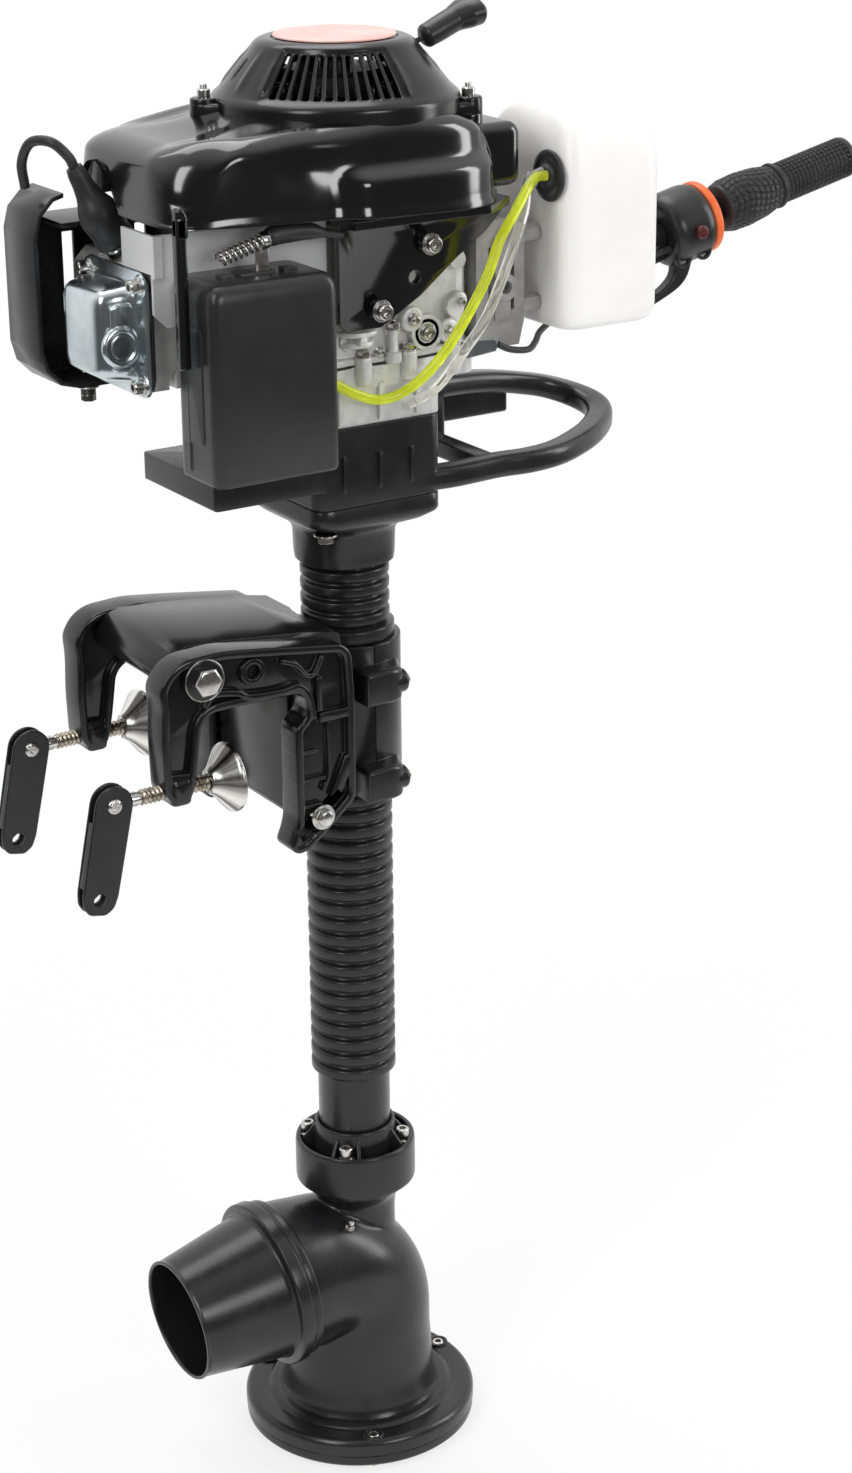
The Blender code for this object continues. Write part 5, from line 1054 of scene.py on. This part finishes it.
def tankPieces():
    x0, x1, y0, y1, z0, z1 = 129.0, 206.0, -74.0, 30.0, 276.0, 415.0
    rows = []
    for i, z, r in ((11, z0, 12), (6, z0 + 0.8, 14), (3, z0 + 2.6, 15), (1, z0 + 6, 16), (0, z0 + 12, 16), (0, z1 - 40, 16), (0.4, z1 - 32, 16), (1.6, z1 - 24, 16), (4, z1 - 16, 16),
                    (8, z1 - 9, 15), (13, z1 - 4, 14), (19, z1 - 1, 13), (26, z1 + 0.6, 10)):
        rows.append(put(roundedBox(x0 + i * 0.6, x1 - i, y0 + i, y1 - i, r, 8), z, "XY"))
    seam = filleted([(-0.1, -0.9), (0.5, -0.6), (0.5, 0.6), (-0.1, 0.9)], 0.3, 2)
    shells = [shell(rows)]
    piece("fuel_tank", shells, "white_tank", "upper", stands=("tank",), sharp=60)
    ripple = lambda r, h, a: np.where(r > 18, 0.7 * np.cos(24 * a), 0)
    cap = filleted([(0, -5), (13.5, -5), (13.5, 0.3), (18.1, 0.4), (19, 2), (19, 12), (17.4, 14), (0, 14.4)], [0, 0.5, 0.3, 0.5, 0.8, 1.2, 1.4, 0], 4)
    piece("fuel_cap", [lathe(cap, (206, -20, 382), (1, 0, 0), 144, wave=ripple)], "satin_black_plastic", "filler_cap", stands=("tank_cap",))
    dish = filleted([(0, 3), (6.8, 3), (6.8, -0.4), (16, -0.4), (17, -2), (16.4, -3.6), (13.4, -4.4), (11, -3.4), (8, -3.8), (6.4, -7), (0, -7)], [0, 0.3, 0.3, 1, 1, 1, 1, 1, 1.5, 1, 0], 4)
    piece("hose_dish", [lathe(dish, (129, -54, 377), (1, 0, 0), 72)], "black_rubber", "upper", stands=("hose_grommet",))
    barb = curve([(126, -52, 379), (119, -54, 379.4), (114, -56.4, 377.4), (109.6, -59, 373.4)], 10)
    ridge = 3.0 + 0.5 * np.abs(np.sin(np.linspace(0, 9, len(barb))))
    piece("hose_barb", [sweep(barb, circle(1.0, 24), scale=ridge)], "grey_casting", "upper")


tankPieces()
print("tank made")


# tiller

tillerA, tillerWay = np.array([95.0, 52.0, 258.0]), unit([168.8, 0, 37.9])


def tillerPieces():
    u, v, w = basis(tillerWay)
    bar = filleted([(0, 0), (11, 0), (11, 257), (7, 260), (7, 372), (0, 372)], [0, 1.5, 1, 1, 1, 0], 3)
    piece("tiller_bar", [lathe(bar, tillerA, tillerWay, 48)], "satin_black_metal", "upper", stands=("tiller_tube",))
    base = tillerA + tillerWay * 206
    upward = np.cross(tillerWay, [0, 1, 0]) * -1 if np.cross(tillerWay, [0, 1, 0])[2] < 0 else np.cross(tillerWay, [0, 1, 0])
    house = filleted([(11.4, 0), (20, 0), (24, 1.6), (26.6, 6), (27, 14), (27, 28), (25.6, 33), (24, 34), (11.4, 34)], [0.5, 3, 3, 3, 4, 3, 1, 0.6, 0.4], 4)
    shells = [lathe(house, base, tillerWay, 72, loop=True)]
    side = (base, tillerWay, upward, np.array([0, 1.0, 0]))
    horn = curve([(24, -18), (20, -33), (10, -42), (-8, -46.5), (-26, -48.5), (-30, -46), (-24, -43), (-8, -40), (4, -34), (7, -26), (0, -18)], 6, closed=True)
    shells.append(slab(horn, -4.5, 4.5, side, 1.6, 4))
    # an open frame behind the housing: a hoop over the tube, and a strut from its foot to the lever
    bars = (([(2, 21), (-12, 22), (-24, 17), (-27, 12), (-26, 4)], 5.0), ([(2, -17), (-12, -17), (-26, -12), (-26, -4)], 5.0), ([(-26, -12), (-21, -26), (-12, -41)], 3.0))
    shells += [slab(ribbon(run, wide), -2.5, 2.5, side, 1.0, 3) for run, wide in bars]
    for q, p in ((17.5, 6), (17.5, 24)):
        shells.append(lathe(filleted([(4.2, 0), (7, 0), (6.6, 3), (4.2, 3)], 0.6, 2), base + tillerWay * p + upward * -q + np.array([0, -17.0, 0]), (0, -1, 0), 28, loop=True))
    piece("grip_head", shells, "satin_black_plastic", "upper", stands=("grip_housing",), sharp=40)
    ring = filleted([(11.4, 0), (25, 0), (26, 1.2), (26, 5.2), (25, 6.5), (11.4, 6.5)], [0.3, 0.8, 0.8, 0.8, 0.8, 0.3], 3)
    piece("orange_band", [lathe(ring, base + tillerWay * 34.3, tillerWay, 72, loop=True)], "orange_trim", "upper", stands=("orange_ring",))
    grip = base + tillerWay * 54.5
    h = np.concatenate([[0, 0.01], np.linspace(1, 51, 110)])
    r = np.interp(h, [0, 0.01, 1, 8, 22, 38, 50, 51], [7.4, 15, 17, 19, 19.6, 18.2, 15.4, 15.2])
    scales = lambda rr, hh, a: np.where((hh > 3) & (hh < 49), 1.3 * np.minimum(np.abs(np.sin(11 * a + 2.0 * np.sin(hh * 0.11))) * 1.5, 1) * np.minimum(np.abs(np.sin(hh * 0.62 + 0.9 * np.sin(4 * a))) * 1.8, 1) - 1.1, 0)
    first = lathe(list(zip(r, h)) + [(15.2, 51)], grip, tillerWay, 220, wave=scales)
    h2 = np.linspace(54, 117, 150)
    knurl = lambda rr, hh, a: np.where((hh > 56) & (hh < 115) & (rr > 14), -1.15 * np.maximum((np.cos(26 * a) > 0.6), (np.cos(hh * 2 * np.pi / 3.6) > 0.6)), 0)
    tail = [(7.4, 50.5), (16.4, 50.8), (16.9, 51.6), (16.9, 52.8), (16.2, 53.6)]
    end = [(15, 118), (14.4, 120), (12.6, 121), (0.01, 121.2)]
    second = lathe(tail + [(15, k) for k in h2] + end, grip, tillerWay, 208, wave=knurl)
    piece("hand_grip", [first, second], "black_rubber", "throttle_grip", stands=("twist_grip",), sharp=50)
    button = base + tillerWay * 18 - np.array([0, 26.6, 0])
    cap = filleted([(0, -1), (5, -1), (5, 3.6), (3.8, 4.9), (0, 5)], [0, 0.2, 0.8, 0.8, 0], 3)
    piece("stop_knob", [lathe(cap, button, (0, -1, 0), 40)], "red_button", "stop_button", stands=("stop_switch",))


tillerPieces()


def pullPieces():
    way = unit([0.945, 0, 0.328])
    at = np.array([65.5, 0, 463.2])
    t = np.linspace(0, 1, 48)
    line = at[None] + way[None] * (t * 45)[:, None] + np.array([0, 0, 1.0])[None] * (3.0 * np.sin(t * 3.1) * t)[:, None]
    wide = np.interp(t, [0, 0.05, 0.3, 0.55, 0.75, 0.92, 1.0], [5, 8.4, 9.2, 9.6, 14.6, 15.6, 11])
    tall = np.interp(t, [0, 0.05, 0.3, 0.55, 0.75, 0.92, 1.0], [5, 7.6, 8.0, 8.0, 9.6, 9.6, 6])
    grid = sweep(line, circle(1.0, 40), hint=(0, 0, 1), scale=np.stack([wide, tall], 1))
    piece("starter_grip", [grid], "satin_black_plastic", "starter_handle", stands=("pull_handle",), sharp=60)


pullPieces()
print("tiller and starter handle made")


# finishes for the CAD nodes that stay

kept = {
    "crankcase_cover": "bare_aluminium", "crankcase": "bare_aluminium", "rear_casting": "grey_casting", "cylinder": "bare_aluminium", "head_gasket": "black_rubber",
    "muffler": "grey_casting", "carburettor": "bare_aluminium", "air_filter": "dark_foam", "baffle": "grey_sheet", "starter_pulley": "satin_black_plastic",
    "starter_rope": "dark_foam", "flywheel": "grey_casting", "throttle_lever": "zinc_plate", "impeller": "bare_aluminium", "drive_shaft": "stainless",
    "crankshaft": "stainless", "steer_bush": "dark_foam",
}
for name, finish in kept.items():
    ob = nodes[name]
    ob.data.materials.clear()
    ob.data.materials.append(finishes[finish])
print("kept nodes:", len(kept))


# floor and light

stageLook = {"radius": 1.5, "fade": (0.35, 1.3), "white": 0.70, "diffuse": 0.50, "room": 0.10,
             "lamps": {"key": ((-1.9, -1.0, 1.5), (-0.05, 0, 0.1), 0.75, 1.7, 27), "front": ((0.35, -2.65, 0.95), (-0.04, 0, 0.2), 1.0, 0.8, 19),
                       "side": ((2.1, -1.0, 0.8), (0, 0, 0.1), 0.5, 1.8, 19), "top": ((0.2, 0.9, 2.3), (0, 0, 0.2), 1.6, 1.6, 26)}}


class Backdrop(Finish):
    """The same tools, on the world's tree."""

    def __init__(self, tree):
        self.tree = tree


def stageSet(look):
    spots = circle(look["radius"], 96)
    mesh = bpy.data.meshes.new("floor")
    mesh.from_pydata([(x, y, float(cadBox[0][2]) - 0.0005) for x, y in spots], [], [list(range(96))])
    floor = bpy.data.objects.new("floor", mesh)
    scene.collection.objects.link(floor)
    f = Finish("floor", Roughness=0.9)
    f.feed("Base Color", f.mix(f.noise(0.8, 2.0), (0.90, 0.90, 0.90, 1), (0.93, 0.93, 0.93, 1)))
    rays = f.node("ShaderNodeLightPath").socket.node
    seen = Value(f, rays.outputs["Is Camera Ray"]).math("MAXIMUM", Value(f, rays.outputs["Is Glossy Ray"])).math("MAXIMUM", Value(f, rays.outputs["Is Transmission Ray"]))
    away = f.node("ShaderNodeVectorMath", {"operation": "LENGTH"}, {0: f.place}, out="Value")
    share = seen * away.held(*look["fade"], look["white"], 1.0)
    glow = f.node("ShaderNodeEmission")
    both = f.node("ShaderNodeMixShader", feeds={0: share, 1: Value(f, f.shader.outputs[0]), 2: glow})
    f.tree.links.new(both.socket, f.tree.nodes["Material Output"].inputs["Surface"])
    mesh.materials.append(f.mat)
    world = bpy.data.worlds.new("studio")
    scene.world = world
    world.use_nodes = True
    w = Backdrop(world.node_tree)
    rays = w.node("ShaderNodeLightPath").socket.node
    where = w.node("ShaderNodeTexCoord", out="Generated")
    # the white backdrop stands behind and above the object, and the room in front of it is dim
    behind = w.node("ShaderNodeVectorMath", {"operation": "DOT_PRODUCT"}, {0: where, 1: (0.36, 0.72, 0.6)}, out="Value").held(-0.35, 0.6, look["room"], 1.0)
    shown = Value(w, rays.outputs["Is Camera Ray"]).math("MAXIMUM", Value(w, rays.outputs["Is Transmission Ray"]))
    gloss = Value(w, rays.outputs["Is Glossy Ray"])
    strength = shown + (1 - shown) * (gloss * behind + (1 - gloss) * look["diffuse"])
    w.tree.links.new(strength.socket, w.tree.nodes["Background"].inputs["Strength"])
    w.tree.nodes["Background"].inputs["Color"].default_value = (1, 1, 1, 1)
    for name, (at, aim, wide, tall, power) in look["lamps"].items():
        lamp = bpy.data.lights.new(name, "AREA")
        lamp.shape, lamp.size, lamp.size_y, lamp.energy = "RECTANGLE", wide, tall, power
        ob = bpy.data.objects.new(name, lamp)
        ob.location = at
        ob.rotation_mode = "QUATERNION"
        ob.rotation_quaternion = (Vector(aim) - Vector(at)).to_track_quat("-Z", "Y")
        ob.visible_camera = False
        scene.collection.objects.link(ob)


stageSet(stageLook)
scene.view_settings.view_transform = "Standard"
print("all pieces made")
